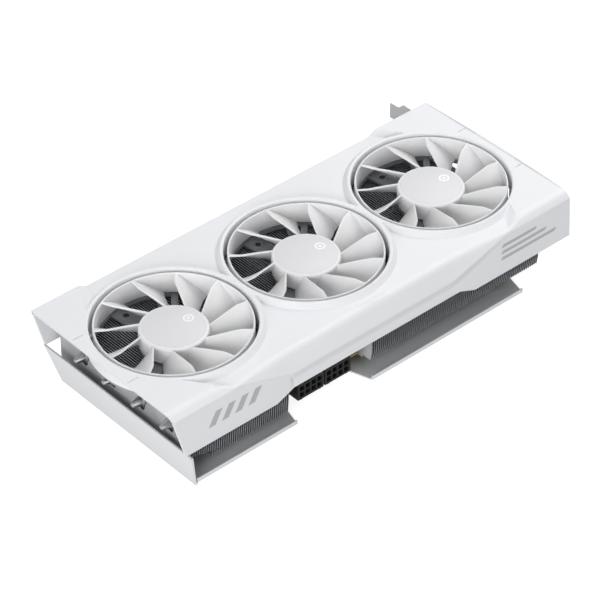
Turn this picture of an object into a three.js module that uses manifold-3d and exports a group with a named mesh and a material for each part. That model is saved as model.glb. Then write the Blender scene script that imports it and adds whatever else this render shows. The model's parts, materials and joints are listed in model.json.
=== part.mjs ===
// Three-fan graphics card, 2.5 slots thick, lying on its backplate with the fans up.
// Millimetres. +X runs from the open end to the I/O bracket, +Y to the PCIe edge connector,
// +Z out of the fans. Until the last lines X and Y are measured from the middle fan's axis and
// Z from the outer face of the backplate; then the whole card is moved so that the origin is
// at the centre of the bottom of its bounding box.
import * as THREE from 'three';
import { mergeVertices } from 'three/addons/utils/BufferGeometryUtils.js';
import Module from 'manifold-3d';

const wasm = await Module();
wasm.setup();

// ---------------------------------------------------------------- driving dimensions
const CARD_THICKNESS = 50.8;
const GAP = 0.3;

const FAN_PITCH = 94;
const FAN_NAMES = ['left', 'middle', 'right'];
const FAN_REST_ANGLES = [17, 14.6, 18.3];
const BLADE_COUNT = 11;
const OPENING_RADIUS = 45.4;
const ROTOR_RADIUS = 43.3;
const HUB_RADIUS = 19.2;
const LABEL_RADIUS = 17.4;
const SHAFT_RADIUS = 1.5;
const BORE_RADIUS = SHAFT_RADIUS + GAP;

const SHROUD_LEFT = -145.1;
const SHROUD_RIGHT = 143.7;
const SHROUD_NEAR = -60;
const SHROUD_FAR = 57.5;
const SHROUD_WALL = 2;
const RECESS_DEPTH = 2.9;
const DUCT_DEPTH = 11;

const PLATE_THICKNESS = 1.2;
const PLATE_NEAR = -62.8;
const PLATE_LEFT = -133.4;
const LIP_HEIGHT = 3.2;

const PCB_BOTTOM = 4;
const PCB_THICKNESS = 1.6;
const PCB_TOP = PCB_BOTTOM + PCB_THICKNESS;
const PCB_LEFT = -58;
const PCB_RIGHT = 142.8;
const PCB_NEAR = -43.5;
const PCB_FAR = 69;
const EDGE_CONNECTOR_FAR = 76;

const FIN_TOP = 32.1;
const FIN_THICKNESS = 1.2;
const FIN_PITCH = 7.5;
const FIN_NEAR = -55.5;
const FIN_FAR = 52.9;

const PIPE_RADIUS = 3;
const PIPE_CLEARANCE = 3.4;
const PIPE_ROWS = [31.3, 7.5, -16.8, -40.4];
const PIPE_TIP = -138;
const PIPE_END = 78;
const PIPE_HIGH = 27.1;
const PIPE_LOW = 15.3;

const GPU_X = 36;
const GPU_Y = -4.5;

const BRACKET_INNER = 144.2;
const BRACKET_THICKNESS = 0.86;
const BRACKET_WIDTH = 38.4;
const BRACKET_NEAR = -32;
const FOLD_DEPTH = 10.5;
const TONGUE_TIP = 87.6;

// ---------------------------------------------------------------- solids
function solid(geometry) {
  const bare = geometry.clone();
  bare.deleteAttribute('normal');
  bare.deleteAttribute('uv');
  const merged = mergeVertices(bare, 1e-4);
  const kept = [];
  for (let i = 0; i < merged.index.count; i += 3) {
    const [a, b, c] = [0, 1, 2].map((k) => merged.index.getX(i + k));
    if (a !== b && b !== c && c !== a) kept.push(a, b, c);
  }
  const vertProperties = new Float32Array(merged.attributes.position.array);
  const make = (triangles) => new wasm.Manifold(new wasm.Mesh({
    numProp: 3,
    vertProperties,
    triVerts: new Uint32Array(triangles),
  }));
  const result = make(kept);
  return result.volume() > 0 ? result : make(kept.reverse());
}

function surfaceOf(manifold) {
  const { vertProperties, triVerts } = manifold.getMesh();
  const geometry = new THREE.BufferGeometry();
  geometry.setAttribute('position', new THREE.BufferAttribute(new Float32Array(vertProperties), 3));
  geometry.setIndex(new THREE.BufferAttribute(new Uint32Array(triVerts), 1));
  geometry.computeVertexNormals();
  return geometry;
}

const union = (pieces) => pieces.reduce((whole, piece) => whole.add(piece));
const cut = (body, tools) => tools.reduce((rest, tool) => rest.subtract(tool), body);

function box([x0, x1], [y0, y1], [z0, z1]) {
  const geometry = new THREE.BoxGeometry(x1 - x0, y1 - y0, z1 - z0);
  return solid(geometry.translate((x0 + x1) / 2, (y0 + y1) / 2, (z0 + z1) / 2));
}

function cylinder(x, y, radius, [z0, z1], segments = 24) {
  const geometry = new THREE.CylinderGeometry(radius, radius, z1 - z0, segments);
  return solid(geometry.rotateX(Math.PI / 2).translate(x, y, (z0 + z1) / 2));
}

function lathe(profile, segments) {
  const points = profile.map(([radius, z]) => new THREE.Vector2(radius, z));
  return solid(new THREE.LatheGeometry(points, segments).rotateX(Math.PI / 2));
}

function extrude(outline, depth) {
  const shape = new THREE.Shape(outline.map(([u, v]) => new THREE.Vector2(u, v)));
  return new THREE.ExtrudeGeometry(shape, { depth, bevelEnabled: false });
}

// An outline in X and Y, from z0 up to z1.
const plateXY = (outline, [z0, z1]) => solid(extrude(outline, z1 - z0).translate(0, 0, z0));

// An outline in X and Z, from y0 to y1.
function plateXZ(outline, [y0, y1]) {
  return solid(extrude(outline, y1 - y0).rotateX(Math.PI / 2).translate(0, y1, 0));
}

// An outline in Y and Z, from x0 to x1.
function plateYZ(outline, [x0, x1]) {
  const turn = new THREE.Matrix4().makeBasis(
    new THREE.Vector3(0, 1, 0),
    new THREE.Vector3(0, 0, 1),
    new THREE.Vector3(1, 0, 0),
  );
  return solid(extrude(outline, x1 - x0).applyMatrix4(turn).translate(x0, 0, 0));
}

// Corner triples that fill a flat loop, each going round the same way as the loop.
function fillLoop(loop) {
  const next = (i) => loop[(i + 1) % loop.length];
  const normal = [0, 1, 2].map((axis) => {
    const [u, v] = [(axis + 1) % 3, (axis + 2) % 3];
    return loop.reduce((sum, point, i) => sum + point[u] * next(i)[v] - next(i)[u] * point[v], 0);
  });
  const sizes = normal.map(Math.abs);
  const drop = sizes.indexOf(Math.max(...sizes));
  const [u, v] = [(drop + 1) % 3, (drop + 2) % 3];
  const flat = loop.map((point) => new THREE.Vector2(point[u], point[v]));
  const direction = Math.sign(THREE.ShapeUtils.area(flat));
  return THREE.ShapeUtils.triangulateShape(flat, []).map(([i, j, k]) => {
    const turn = Math.sign(THREE.ShapeUtils.area([flat[i], flat[j], flat[k]]));
    return turn === direction ? [i, j, k] : [i, k, j];
  });
}

// A closed skin over loops of equally many points, with its two ends filled.
function loft(loops) {
  const size = loops[0].length;
  const last = (loops.length - 1) * size;
  const index = [];
  for (let i = 0; i + 1 < loops.length; i += 1) {
    for (let j = 0; j < size; j += 1) {
      const [a, b] = [i * size + j, i * size + (j + 1) % size];
      index.push(a, b, a + size, b, b + size, a + size);
    }
  }
  for (const [a, b, c] of fillLoop(loops[0])) index.push(a, c, b);
  for (const [a, b, c] of fillLoop(loops[loops.length - 1])) {
    index.push(last + a, last + b, last + c);
  }
  const geometry = new THREE.BufferGeometry();
  const positions = new Float32Array(loops.flat(2));
  geometry.setAttribute('position', new THREE.BufferAttribute(positions, 3));
  geometry.setIndex(index);
  return solid(geometry);
}

// The value at x on a line through [x, ...values] stations.
function along(stations, x) {
  const last = stations.length - 1;
  if (x <= stations[0][0]) return stations[0].slice(1);
  if (x >= stations[last][0]) return stations[last].slice(1);
  const after = stations.findIndex(([station]) => station >= x);
  const [from, to] = [stations[after - 1], stations[after]];
  const share = (x - from[0]) / (to[0] - from[0]);
  return from.slice(1).map((value, i) => value + share * (to[i + 1] - value));
}

const onCircle = (radius, degrees) => {
  const angle = THREE.MathUtils.degToRad(degrees);
  return [radius * Math.cos(angle), radius * Math.sin(angle)];
};

// ---------------------------------------------------------------- materials
const paint = (color, roughness, metalness = 0) => (
  new THREE.MeshStandardMaterial({ color, roughness, metalness })
);
const WHITE_PLASTIC = paint(0xe9eaec, 0.5);
const LABEL_GREY = paint(0xdfdfe1, 0.55);
const PAINTED_METAL = paint(0xdcdee0, 0.45, 0.2);
const DARK_FIN = paint(0x4a5052, 0.5, 0.6);
const NICKEL = paint(0xc4c7c8, 0.3, 0.9);
const COPPER = paint(0xb87a55, 0.35, 0.9);
const STEEL = paint(0xbfc0c2, 0.4, 0.9);
const FRAME_GREY = paint(0x6d6f72, 0.6);
const BLACK_PLASTIC = paint(0x1c1c1e, 0.6);
const BOARD_BLACK = paint(0x17191b, 0.6);
const CHIP_BLACK = paint(0x222326, 0.5);
const SILICON = paint(0x3b3f46, 0.2, 0.5);
const FERRITE = paint(0x3c3d40, 0.7);
const CAN = paint(0xa9abae, 0.35, 0.9);

const card = new THREE.Group();

function addPiece(name, manifold, material, parent = card) {
  const mesh = new THREE.Mesh(surfaceOf(manifold), material);
  mesh.name = name;
  parent.add(mesh);
}

// ---------------------------------------------------------------- fan shroud
// Each station is [x, y, z] with z measured down from the top face.
const NEAR_TOP_EDGE = [[-105, -56.5, 0], [-65, -55.3, 0], [53, -55.3, 0], [98, -56.5, 0]];
const FACET_EDGE = [[-99, -60, -3.5], [-65, -61.5, -14.3], [53, -61.5, -14.3], [96, -60, -3.5]];
const UNDERCUT_EDGE = [
  [-99, -60, -3.9], [-65, -60.1, -15.5], [-62, -60, -20.8], [58, -60, -20.8], [101, -60, -3.9],
];
const NEAR_BOTTOM_EDGE = [
  [-73.6, -60, -30.8], [-62, -60, -25.9], [59.8, -60, -25.9], [71.4, -60, -30.8],
];
const FAR_SKIRT_BOTTOM = CARD_THICKNESS - 26.5;

function shroudSection(x) {
  const edges = [NEAR_TOP_EDGE, FACET_EDGE, UNDERCUT_EDGE, NEAR_BOTTOM_EDGE];
  return [
    [x, SHROUD_FAR, FAR_SKIRT_BOTTOM],
    [x, SHROUD_FAR, CARD_THICKNESS - 1],
    [x, SHROUD_FAR - 1, CARD_THICKNESS],
    ...edges.map((edge) => {
      const [y, z] = along(edge, x);
      return [x, y, CARD_THICKNESS + z];
    }),
  ];
}

function shroudBlock() {
  const stations = [SHROUD_LEFT - 1, -105, -99, -73.6, -65, -62, 53, 58, 59.8, 71.4, 96, 98, 101];
  return loft([...stations, SHROUD_RIGHT].map(shroudSection));
}

// The shallow recess between the two end blocks, with sloping ends.
function shroudRecess() {
  const over = 1;
  const rim = [
    [-110, 61], [-123, 38], [-122.6, -38], [-103.5, -64], [102, -64], [112.6, -43.6],
    [114.1, 44.4], [93, 61],
  ];
  const floor = [
    [-105, 61], [-117.4, 41.5], [-118, -40], [-98, -64], [94, -64], [104.7, -47.5],
    [105, 47], [84, 61],
  ];
  const level = (outline, z) => outline.map(([x, y]) => [x, y, z]);
  const above = rim.map(([x, y], i) => [
    x + (x - floor[i][0]) * over / RECESS_DEPTH,
    y + (y - floor[i][1]) * over / RECESS_DEPTH,
  ]);
  return loft([
    level(floor, CARD_THICKNESS - RECESS_DEPTH),
    level(rim, CARD_THICKNESS),
    level(above, CARD_THICKNESS + over),
  ]);
}

function shroudCavity() {
  const under = -1;
  const ceiling = CARD_THICKNESS - RECESS_DEPTH - SHROUD_WALL;
  const far = SHROUD_FAR - SHROUD_WALL;
  const near = SHROUD_NEAR + SHROUD_WALL;
  const section = [[far, under], [far, ceiling], [-54.5, ceiling], [near, 36], [near, under]];
  const pocketTop = CARD_THICKNESS - SHROUD_WALL;
  const pocket = (span) => box(span, [-53.5, far - 1], [ceiling - 1, pocketTop]);
  return union([
    plateYZ(section, [SHROUD_LEFT - 6, SHROUD_RIGHT - SHROUD_WALL]),
    pocket([SHROUD_LEFT - 5, -127]),
    pocket([118, SHROUD_RIGHT - SHROUD_WALL - 1]),
  ]);
}

// Everything left of the line from the top edge to the lower corner of the skirts.
function slantedEndCut() {
  const over = 1;
  const slope = 8.9 / 30.8;
  const edgeAt = (depth) => SHROUD_LEFT + slope * depth;
  const outline = [
    [SHROUD_LEFT - 10, CARD_THICKNESS + over],
    [edgeAt(-over), CARD_THICKNESS + over],
    [edgeAt(CARD_THICKNESS), 0],
    [SHROUD_LEFT - 10, 0],
  ];
  return plateXZ(outline, [-80, 80]);
}

const DUCT_SEGMENTS = 44;

function fanDuct() {
  const top = CARD_THICKNESS;
  const outer = OPENING_RADIUS + 1.8;
  return lathe([
    [OPENING_RADIUS, top - DUCT_DEPTH],
    [outer, top - DUCT_DEPTH],
    [outer, top - 5],
    [outer + 2.6, top - 4],
    [outer + 2.6, top - RECESS_DEPTH],
    [outer, top],
    [OPENING_RADIUS, top],
    [OPENING_RADIUS, top - DUCT_DEPTH],
  ], DUCT_SEGMENTS);
}

const FAN_CENTRES = [-FAN_PITCH, 0, FAN_PITCH];
const BRACKET_SCREW_SPOTS = [[-20, 34], [52, 34]];

function screwHole([y, z], radius) {
  const hole = new THREE.CylinderGeometry(radius, radius, 30, 16).rotateZ(Math.PI / 2);
  return solid(hole.translate(BRACKET_INNER, y, z));
}

function addShroud() {
  const over = [0, CARD_THICKNESS + 1];
  const openings = FAN_CENTRES.map((x) => (
    cylinder(x, 0, OPENING_RADIUS + 0.9, over, DUCT_SEGMENTS)
  ));
  const endOpening = box([SHROUD_RIGHT - 5, SHROUD_RIGHT + 1], [-70, 70], [0, 29]);
  const skin = cut(shroudBlock(), [shroudRecess(), shroudCavity(), ...openings, endOpening]);
  const ducts = FAN_CENTRES.map((x) => fanDuct().translate([x, 0, 0]));
  const holes = BRACKET_SCREW_SPOTS.map((spot) => screwHole(spot, 1.8));
  addPiece('fan_shroud', cut(union([skin, ...ducts]), [slantedEndCut(), ...holes]), WHITE_PLASTIC);
}

// ---------------------------------------------------------------- fans
const HUB_TOP = CARD_THICKNESS - 3.8;
const LABEL_TOP = CARD_THICKNESS - 3.7;
const LABEL_THICKNESS = 0.6;
const HUB_FACE = LABEL_TOP - LABEL_THICKNESS - GAP;
const HUB_WALL = 1.6;
const ROTOR_BOTTOM = CARD_THICKNESS - 14.2;
const RING_TOP = CARD_THICKNESS - 0.9;
const FRAME_TOP = 35.4;
const FRAME_BOTTOM = 33.4;
const BEARING_TOP = 40.5;
const SHAFT_TOP = HUB_FACE - HUB_WALL - GAP;

function hubCup() {
  const inside = HUB_RADIUS - HUB_WALL;
  const ceiling = HUB_FACE - HUB_WALL;
  const bossRadius = 4;
  return lathe([
    [0, HUB_FACE],
    [LABEL_RADIUS + GAP, HUB_FACE],
    [LABEL_RADIUS + GAP, HUB_TOP],
    [HUB_RADIUS - 0.7, HUB_TOP],
    [HUB_RADIUS, HUB_TOP - 1],
    [HUB_RADIUS, ROTOR_BOTTOM],
    [inside, ROTOR_BOTTOM],
    [inside, ceiling],
    [bossRadius, ceiling],
    [bossRadius, BEARING_TOP + 0.5],
    [BORE_RADIUS, BEARING_TOP + 0.5],
    [BORE_RADIUS, ceiling],
    [0, ceiling],
  ], 2 * BLADE_COUNT);
}

function rotorRing() {
  const inner = ROTOR_RADIUS - 1.1;
  return lathe([
    [inner, ROTOR_BOTTOM],
    [ROTOR_RADIUS, ROTOR_BOTTOM],
    [ROTOR_RADIUS, RING_TOP],
    [inner, RING_TOP],
    [inner, ROTOR_BOTTOM],
  ], 3 * BLADE_COUNT);
}

// Stations from hub to ring: radius, angle and height of the top edge, angle of the lower edge.
const BLADE_STATIONS = [
  [18.4, -19.5, HUB_TOP - 0.6, -34],
  [27, -7.5, HUB_TOP + 0.8, -27],
  [36, -0.5, RING_TOP - 0.6, -24],
  [42.7, 0, RING_TOP - 0.2, -24],
];

function blade(ringAngle) {
  const bottom = ROTOR_BOTTOM + 0.4;
  return loft(BLADE_STATIONS.map(([radius, topAngle, topHeight, lowAngle]) => {
    const half = THREE.MathUtils.radToDeg(0.7 / radius);
    const corner = (angle, z) => [...onCircle(radius, ringAngle + angle), z];
    return [
      corner(topAngle - half, topHeight),
      corner(topAngle + half, topHeight),
      corner(lowAngle + half, bottom),
      corner(lowAngle - half, bottom),
    ];
  }));
}

function impeller(restAngle) {
  const blades = Array.from(
    { length: BLADE_COUNT },
    (_, i) => blade(restAngle + i * 360 / BLADE_COUNT),
  );
  return union([hubCup(), rotorRing(), ...blades]);
}

function motorStator() {
  const [inner, outer] = [4.6, HUB_RADIUS - HUB_WALL - 2];
  const [bottom, top] = [36, 43.5];
  return lathe([[inner, bottom], [outer, bottom], [outer, top], [inner, top], [inner, bottom]], 16);
}

// The motor's seat, its bearing tube, the struts and the rim that carries them.
const STRUTS = [[61, 5], [50, 4], [97, 10], [-155, 8], [-60, 6]];
const RIM_INNER = 43.8;
const RIM_OUTER = 46.8;
const FRAME_SCREW_RADIUS = 36;

function fanFrame() {
  const height = [FRAME_BOTTOM, FRAME_TOP];
  const seat = lathe([
    [0, FRAME_BOTTOM],
    [18.5, FRAME_BOTTOM],
    [18.5, FRAME_TOP],
    [4.2, FRAME_TOP],
    [4.2, BEARING_TOP],
    [BORE_RADIUS, BEARING_TOP],
    [BORE_RADIUS, FRAME_BOTTOM + 1],
    [0, FRAME_BOTTOM + 1],
  ], 16);
  const rim = cut(cylinder(0, 0, RIM_OUTER, height, 32), [cylinder(0, 0, RIM_INNER, height, 32)]);
  const struts = STRUTS.map(([angle, width]) => (
    box([17, RIM_INNER + 1], [-width / 2, width / 2], height).rotate([0, 0, angle])
  ));
  const [x, y] = onCircle(FRAME_SCREW_RADIUS, STRUTS[2][0]);
  return cut(union([seat, rim, ...struts]), [cylinder(x, y, 1.6, [30, 40], 12)]);
}

function addFan(name, centre, restAngle) {
  const fan = new THREE.Group();
  fan.position.x = centre;
  const shaft = cylinder(0, 0, SHAFT_RADIUS, [FRAME_BOTTOM + 1 + GAP, SHAFT_TOP], 16);
  const label = cylinder(0, 0, LABEL_RADIUS, [LABEL_TOP - LABEL_THICKNESS, LABEL_TOP], 32);
  addPiece(`fan_${name}_impeller`, impeller(restAngle), WHITE_PLASTIC, fan);
  addPiece(`fan_${name}_hub_disc`, label, LABEL_GREY, fan);
  addPiece(`fan_${name}_shaft`, shaft, STEEL, fan);
  addPiece(`fan_${name}_motor_stator`, motorStator(), BLACK_PLASTIC, fan);
  addPiece(`fan_${name}_frame`, fanFrame(), FRAME_GREY, fan);
  card.add(fan);
}

// ---------------------------------------------------------------- heat pipes and fins
// The run of every pipe in X and Z: high through the left stack and past the power connectors,
// then down a smooth bend onto the base plate.
const PIPE_BEND = [-14, 14];
const BEND_STEPS = 6;
const bendPoint = (share) => [
  THREE.MathUtils.lerp(...PIPE_BEND, share),
  THREE.MathUtils.lerp(PIPE_HIGH, PIPE_LOW, (1 - Math.cos(Math.PI * share)) / 2),
];
const PIPE_RUN = [
  [PIPE_TIP, PIPE_HIGH],
  ...Array.from({ length: BEND_STEPS + 1 }, (_, i) => bendPoint(i / BEND_STEPS)),
  [PIPE_END, PIPE_LOW],
];

function heatPipe(y) {
  const sides = 10;
  const ring = (x, z, radius) => Array.from({ length: sides }, (_, i) => {
    const [dy, dz] = onCircle(radius, i * 360 / sides);
    return [x, y + dy, z + dz];
  });
  const taper = [[PIPE_TIP, 1.1], [PIPE_TIP + 6, PIPE_RADIUS]];
  const loops = PIPE_RUN.map(([x, z]) => ring(x, z, along(taper, x)[0]));
  loops.splice(1, 0, ring(PIPE_TIP + 6, PIPE_HIGH, PIPE_RADIUS));
  return loft(loops);
}

function pipeLane(y) {
  const reach = 8;
  const run = PIPE_RUN.map(([x, z], i) => [i === 0 ? x - reach : x, z]);
  run[run.length - 1][0] += reach;
  const upper = run.map(([x, z]) => [x, z + PIPE_CLEARANCE]);
  const lower = run.map(([x, z]) => [x, z - PIPE_CLEARANCE]).reverse();
  return plateXZ([...upper, ...lower], [y - PIPE_CLEARANCE, y + PIPE_CLEARANCE]);
}

// Upright fins that share a thin sheet of folded tabs along the bottom.
function finComb([x0, x1], bottom) {
  const sheetTop = bottom + 0.8;
  const count = Math.floor((x1 - x0 - FIN_THICKNESS) / FIN_PITCH);
  const outline = [[x0, bottom], [x1, bottom]];
  for (let i = count; i >= 0; i -= 1) {
    const left = x0 + i * (x1 - x0 - FIN_THICKNESS) / count;
    const right = left + FIN_THICKNESS;
    if (i < count) outline.push([right, sheetTop]);
    outline.push([right, FIN_TOP], [left, FIN_TOP]);
    if (i > 0) outline.push([left, sheetTop]);
  }
  return plateXZ(outline, [FIN_NEAR, FIN_FAR]);
}

function addCooler() {
  const lanes = PIPE_ROWS.map(pipeLane);
  addPiece('fin_stack_left', cut(finComb([-130, -60.5], 5.2), lanes), DARK_FIN);

  const connectorNotch = box([-52, -3], [-60, -33.5], [0, 40]);
  const boardClearance = box([-52, 123], [-50, 48], [0, 14.4]);
  const right = cut(finComb([-50, 126.3], 8.5), [connectorNotch, boardClearance, ...lanes]);
  addPiece('fin_stack_right', right, DARK_FIN);

  PIPE_ROWS.forEach((y, i) => addPiece(`heat_pipe_${i + 1}`, heatPipe(y), NICKEL));

  const plateHeight = [8.5, 11.8];
  const coldHalf = 24;
  const window = box(
    [GPU_X - coldHalf - GAP, GPU_X + coldHalf + GAP],
    [GPU_Y - coldHalf - GAP, GPU_Y + coldHalf + GAP],
    [8, 13],
  );
  const basePlate = cut(box([-6, PIPE_END + 2], [-45, 36], plateHeight), [window]);
  addPiece('cooler_base_plate', basePlate, NICKEL);
  const coldPlate = box(
    [GPU_X - coldHalf, GPU_X + coldHalf],
    [GPU_Y - coldHalf, GPU_Y + coldHalf],
    plateHeight,
  );
  addPiece('cold_plate', coldPlate, COPPER);
}

// ---------------------------------------------------------------- circuit board
const EDGE_CONNECTOR = [9, 94];
const KEY_NOTCH = [81.4, 83.3];
const RETENTION_HALF = 32;
const RETENTION_SPOTS = [[-1, -1], [1, -1], [1, 1], [-1, 1]].map(([sx, sy]) => (
  [GPU_X + sx * RETENTION_HALF, GPU_Y + sy * RETENTION_HALF]
));

function addBoard() {
  const [edge0, edge1] = EDGE_CONNECTOR;
  const outline = [
    [PCB_LEFT, PCB_NEAR], [PCB_RIGHT, PCB_NEAR], [PCB_RIGHT, PCB_FAR], [edge1, PCB_FAR],
    [edge1, EDGE_CONNECTOR_FAR], [KEY_NOTCH[1], EDGE_CONNECTOR_FAR], [KEY_NOTCH[1], PCB_FAR],
    [KEY_NOTCH[0], PCB_FAR], [KEY_NOTCH[0], EDGE_CONNECTOR_FAR], [edge0, EDGE_CONNECTOR_FAR],
    [edge0, PCB_FAR], [PCB_LEFT, PCB_FAR],
  ];
  const holes = RETENTION_SPOTS.map(([x, y]) => cylinder(x, y, 1.8, [0, 10], 12));
  addPiece('pcb', cut(plateXY(outline, [PCB_BOTTOM, PCB_TOP]), holes), BOARD_BLACK);
}

// A box standing on the board, given by its centre and its size in X, Y and Z.
function onBoard(x, y, sizeX, sizeY, height, lift = GAP) {
  const base = PCB_TOP + lift;
  return box([x - sizeX / 2, x + sizeX / 2], [y - sizeY / 2, y + sizeY / 2], [base, base + height]);
}

function addChips() {
  addPiece('gpu_package', onBoard(GPU_X, GPU_Y, 40, 40, 1.2), CHIP_BLACK);
  addPiece('gpu_die', onBoard(GPU_X, GPU_Y, 22, 20, 0.8, 1.2 + 2 * GAP), SILICON);

  const beside = 31;
  const apart = 8.2;
  const memorySpots = [
    [GPU_X - beside, GPU_Y - apart, 12, 14], [GPU_X - beside, GPU_Y + apart, 12, 14],
    [GPU_X - apart, GPU_Y + beside, 14, 12], [GPU_X + apart, GPU_Y + beside, 14, 12],
    [GPU_X + beside, GPU_Y + apart, 12, 14], [GPU_X + beside, GPU_Y - apart, 12, 14],
    [GPU_X + apart, GPU_Y - beside, 14, 12], [GPU_X - apart, GPU_Y - beside, 14, 12],
  ];
  memorySpots.forEach(([x, y, sizeX, sizeY], i) => {
    addPiece(`memory_chip_${i + 1}`, onBoard(x, y, sizeX, sizeY, 1.1), CHIP_BLACK);
  });

  for (let i = 0; i < 6; i += 1) {
    addPiece(`choke_${i + 1}`, onBoard(-34, -26 + i * 11, 10, 8, 7.2), FERRITE);
  }
  for (let i = 0; i < 4; i += 1) {
    const base = PCB_TOP + GAP;
    const can = cylinder(-50, -20 + i * 13, 3.2, [base, base + 7.5], 16);
    addPiece(`capacitor_${i + 1}`, can, CAN);
  }
}

// ---------------------------------------------------------------- power connectors
const POWER_FACE = -53.5;
const POWER_PITCH = 4.2;

function powerConnector(x) {
  const half = 9.3;
  const bottom = PCB_TOP + GAP;
  const lowRow = 9.4;
  const body = box([x - half, x + half], [POWER_FACE, POWER_FACE + 15], [bottom, 16.2]);
  const latch = box([x - 3.5, x + 3.5], [POWER_FACE, POWER_FACE + 8], [15, 17.8]);
  const sockets = [];
  for (let column = 0; column < 4; column += 1) {
    for (let row = 0; row < 2; row += 1) {
      const u = x + (column - 1.5) * POWER_PITCH;
      const w = lowRow + row * POWER_PITCH;
      sockets.push(box([u - 1.7, u + 1.7], [POWER_FACE - 1, POWER_FACE + 11], [w - 1.7, w + 1.7]));
    }
  }
  return cut(union([body, latch]), sockets);
}

// ---------------------------------------------------------------- I/O bracket and ports
const PORTS = [
  ['displayport_1', -14, 17.3, 6],
  ['displayport_2', 9, 17.3, 6],
  ['displayport_3', 32, 17.3, 6],
  ['hdmi_port', 55, 15.4, 6],
];
const PORT_WALL = 0.6;
const PORT_FRONT = BRACKET_INNER + 0.7;
const PORT_BASE = PCB_TOP + GAP;

function port(y, width, height) {
  const across = (inset) => [y - width / 2 + inset, y + width / 2 - inset];
  const up = (inset) => [PORT_BASE + inset, PORT_BASE + height - inset];
  const shell = box([PORT_FRONT - 16, PORT_FRONT], across(0), up(0));
  const mouth = box([PORT_FRONT - 10, PORT_FRONT + 1], across(PORT_WALL), up(PORT_WALL));
  return cut(shell, [mouth]);
}

function ioBracket() {
  const shoulder = 4.1;
  const tongueWidth = 10.19;
  const high = BRACKET_WIDTH - shoulder;
  const slotPitch = 20.32;
  const shoulderFoot = 76.6;
  const neck = shoulderFoot + shoulder;
  const foldTop = 35.3;
  const outer = BRACKET_INNER + BRACKET_THICKNESS;
  const foldNear = BRACKET_NEAR - BRACKET_THICKNESS;
  const foldEnd = outer + FOLD_DEPTH;
  const front = plateYZ([
    [foldNear - 1, -1], [shoulderFoot - 1, -1], [neck, 3.8],
    [TONGUE_TIP, high - slotPitch - tongueWidth], [TONGUE_TIP, high - slotPitch],
    [neck, high - slotPitch], [shoulderFoot, 17.5], [shoulderFoot, 20.5],
    [neck, high - tongueWidth], [TONGUE_TIP, high - tongueWidth], [TONGUE_TIP, high],
    [neck, high], [shoulderFoot, BRACKET_WIDTH], [BRACKET_NEAR + 4, BRACKET_WIDTH],
    [BRACKET_NEAR + 1, foldTop], [foldNear - 1, foldTop],
  ], [BRACKET_INNER - 1, foldEnd + 1]);
  const sheet = plateXY([
    [BRACKET_INNER, foldNear], [foldEnd, foldNear], [foldEnd, BRACKET_NEAR],
    [outer, BRACKET_NEAR], [outer, TONGUE_TIP + 1], [BRACKET_INNER, TONGUE_TIP + 1],
  ], [0, BRACKET_WIDTH + 1]);
  const bent = sheet.intersect(front);

  const through = [BRACKET_INNER - 1, outer + 1];
  const clearance = 0.35;
  const portCuts = PORTS.map(([, y, width, height]) => box(
    through,
    [y - width / 2 - clearance, y + width / 2 + clearance],
    [PORT_BASE - clearance, PORT_BASE + height + clearance],
  ));
  const vents = Array.from({ length: 7 }, (_, i) => {
    const start = -26 + i * 13.2;
    return box(through, [start, start + 10.4], [17.5, 30.5]);
  });
  const screwSlots = [7.9, 28.2].map((z) => box(
    [foldEnd - 6.2, foldEnd + 1],
    [BRACKET_NEAR - 2, BRACKET_NEAR + 1],
    [z - 2.2, z + 2.2],
  ));
  const holes = BRACKET_SCREW_SPOTS.map((spot) => screwHole(spot, 1.8));
  return cut(bent, [...portCuts, ...vents, ...screwSlots, ...holes]);
}

function bracketScrew([y, z]) {
  const outer = BRACKET_INNER + BRACKET_THICKNESS;
  const head = new THREE.CylinderGeometry(2.6, 2.6, 1.4, 16).rotateZ(Math.PI / 2);
  const shank = new THREE.CylinderGeometry(1.4, 1.4, 7, 16).rotateZ(Math.PI / 2);
  const headFoot = outer + GAP;
  return union([
    solid(head.translate(headFoot + 0.7, y, z)),
    solid(shank.translate(headFoot - 3.4, y, z)),
  ]);
}

// ---------------------------------------------------------------- backplate
// The plate steps back behind the power connectors and again at the bracket's end.
function backplate() {
  const stepBack = -41.5;
  const plate = plateXY([
    [PLATE_LEFT, PLATE_NEAR], [-62, PLATE_NEAR], [-56.2, stepBack], [-14.2, stepBack],
    [-7.4, PLATE_NEAR], [107, PLATE_NEAR], [112.7, stepBack], [PCB_RIGHT, stepBack],
    [PCB_RIGHT, SHROUD_FAR], [PLATE_LEFT + 3, SHROUD_FAR], [PLATE_LEFT, 49],
  ], [0, PLATE_THICKNESS]);
  const lip = ([x0, x1]) => box([x0, x1], [PLATE_NEAR, PLATE_NEAR + 1.2], [0, LIP_HEIGHT]);
  const flangeSkin = (shift) => [
    [PLATE_LEFT + shift, PLATE_NEAR, 0], [PLATE_LEFT + shift, 49, 0],
    [-138.2 + shift, SHROUD_FAR - 0.4, 23], [-135.3 + shift, PLATE_NEAR, 19.5],
  ];
  const flange = loft([flangeSkin(0), flangeSkin(1.2)]);
  const airSlots = Array.from({ length: 6 }, (_, i) => {
    const start = -122 + i * 9.5;
    return plateXY([
      [start, -34], [start + 5.5, -34], [start + 13.5, 38], [start + 8, 38],
    ], [-1, 3]);
  });
  const half = RETENTION_HALF - 6;
  const gpuWindow = box([GPU_X - half, GPU_X + half], [GPU_Y - half, GPU_Y + half], [-1, 3]);
  const screwHoles = RETENTION_SPOTS.map(([x, y]) => cylinder(x, y, 3.4, [-1, 3], 16));
  const body = union([plate, lip([-131.5, -62]), lip([-7.4, 107]), flange]);
  return cut(body, [...airSlots, gpuWindow, ...screwHoles]);
}

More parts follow.
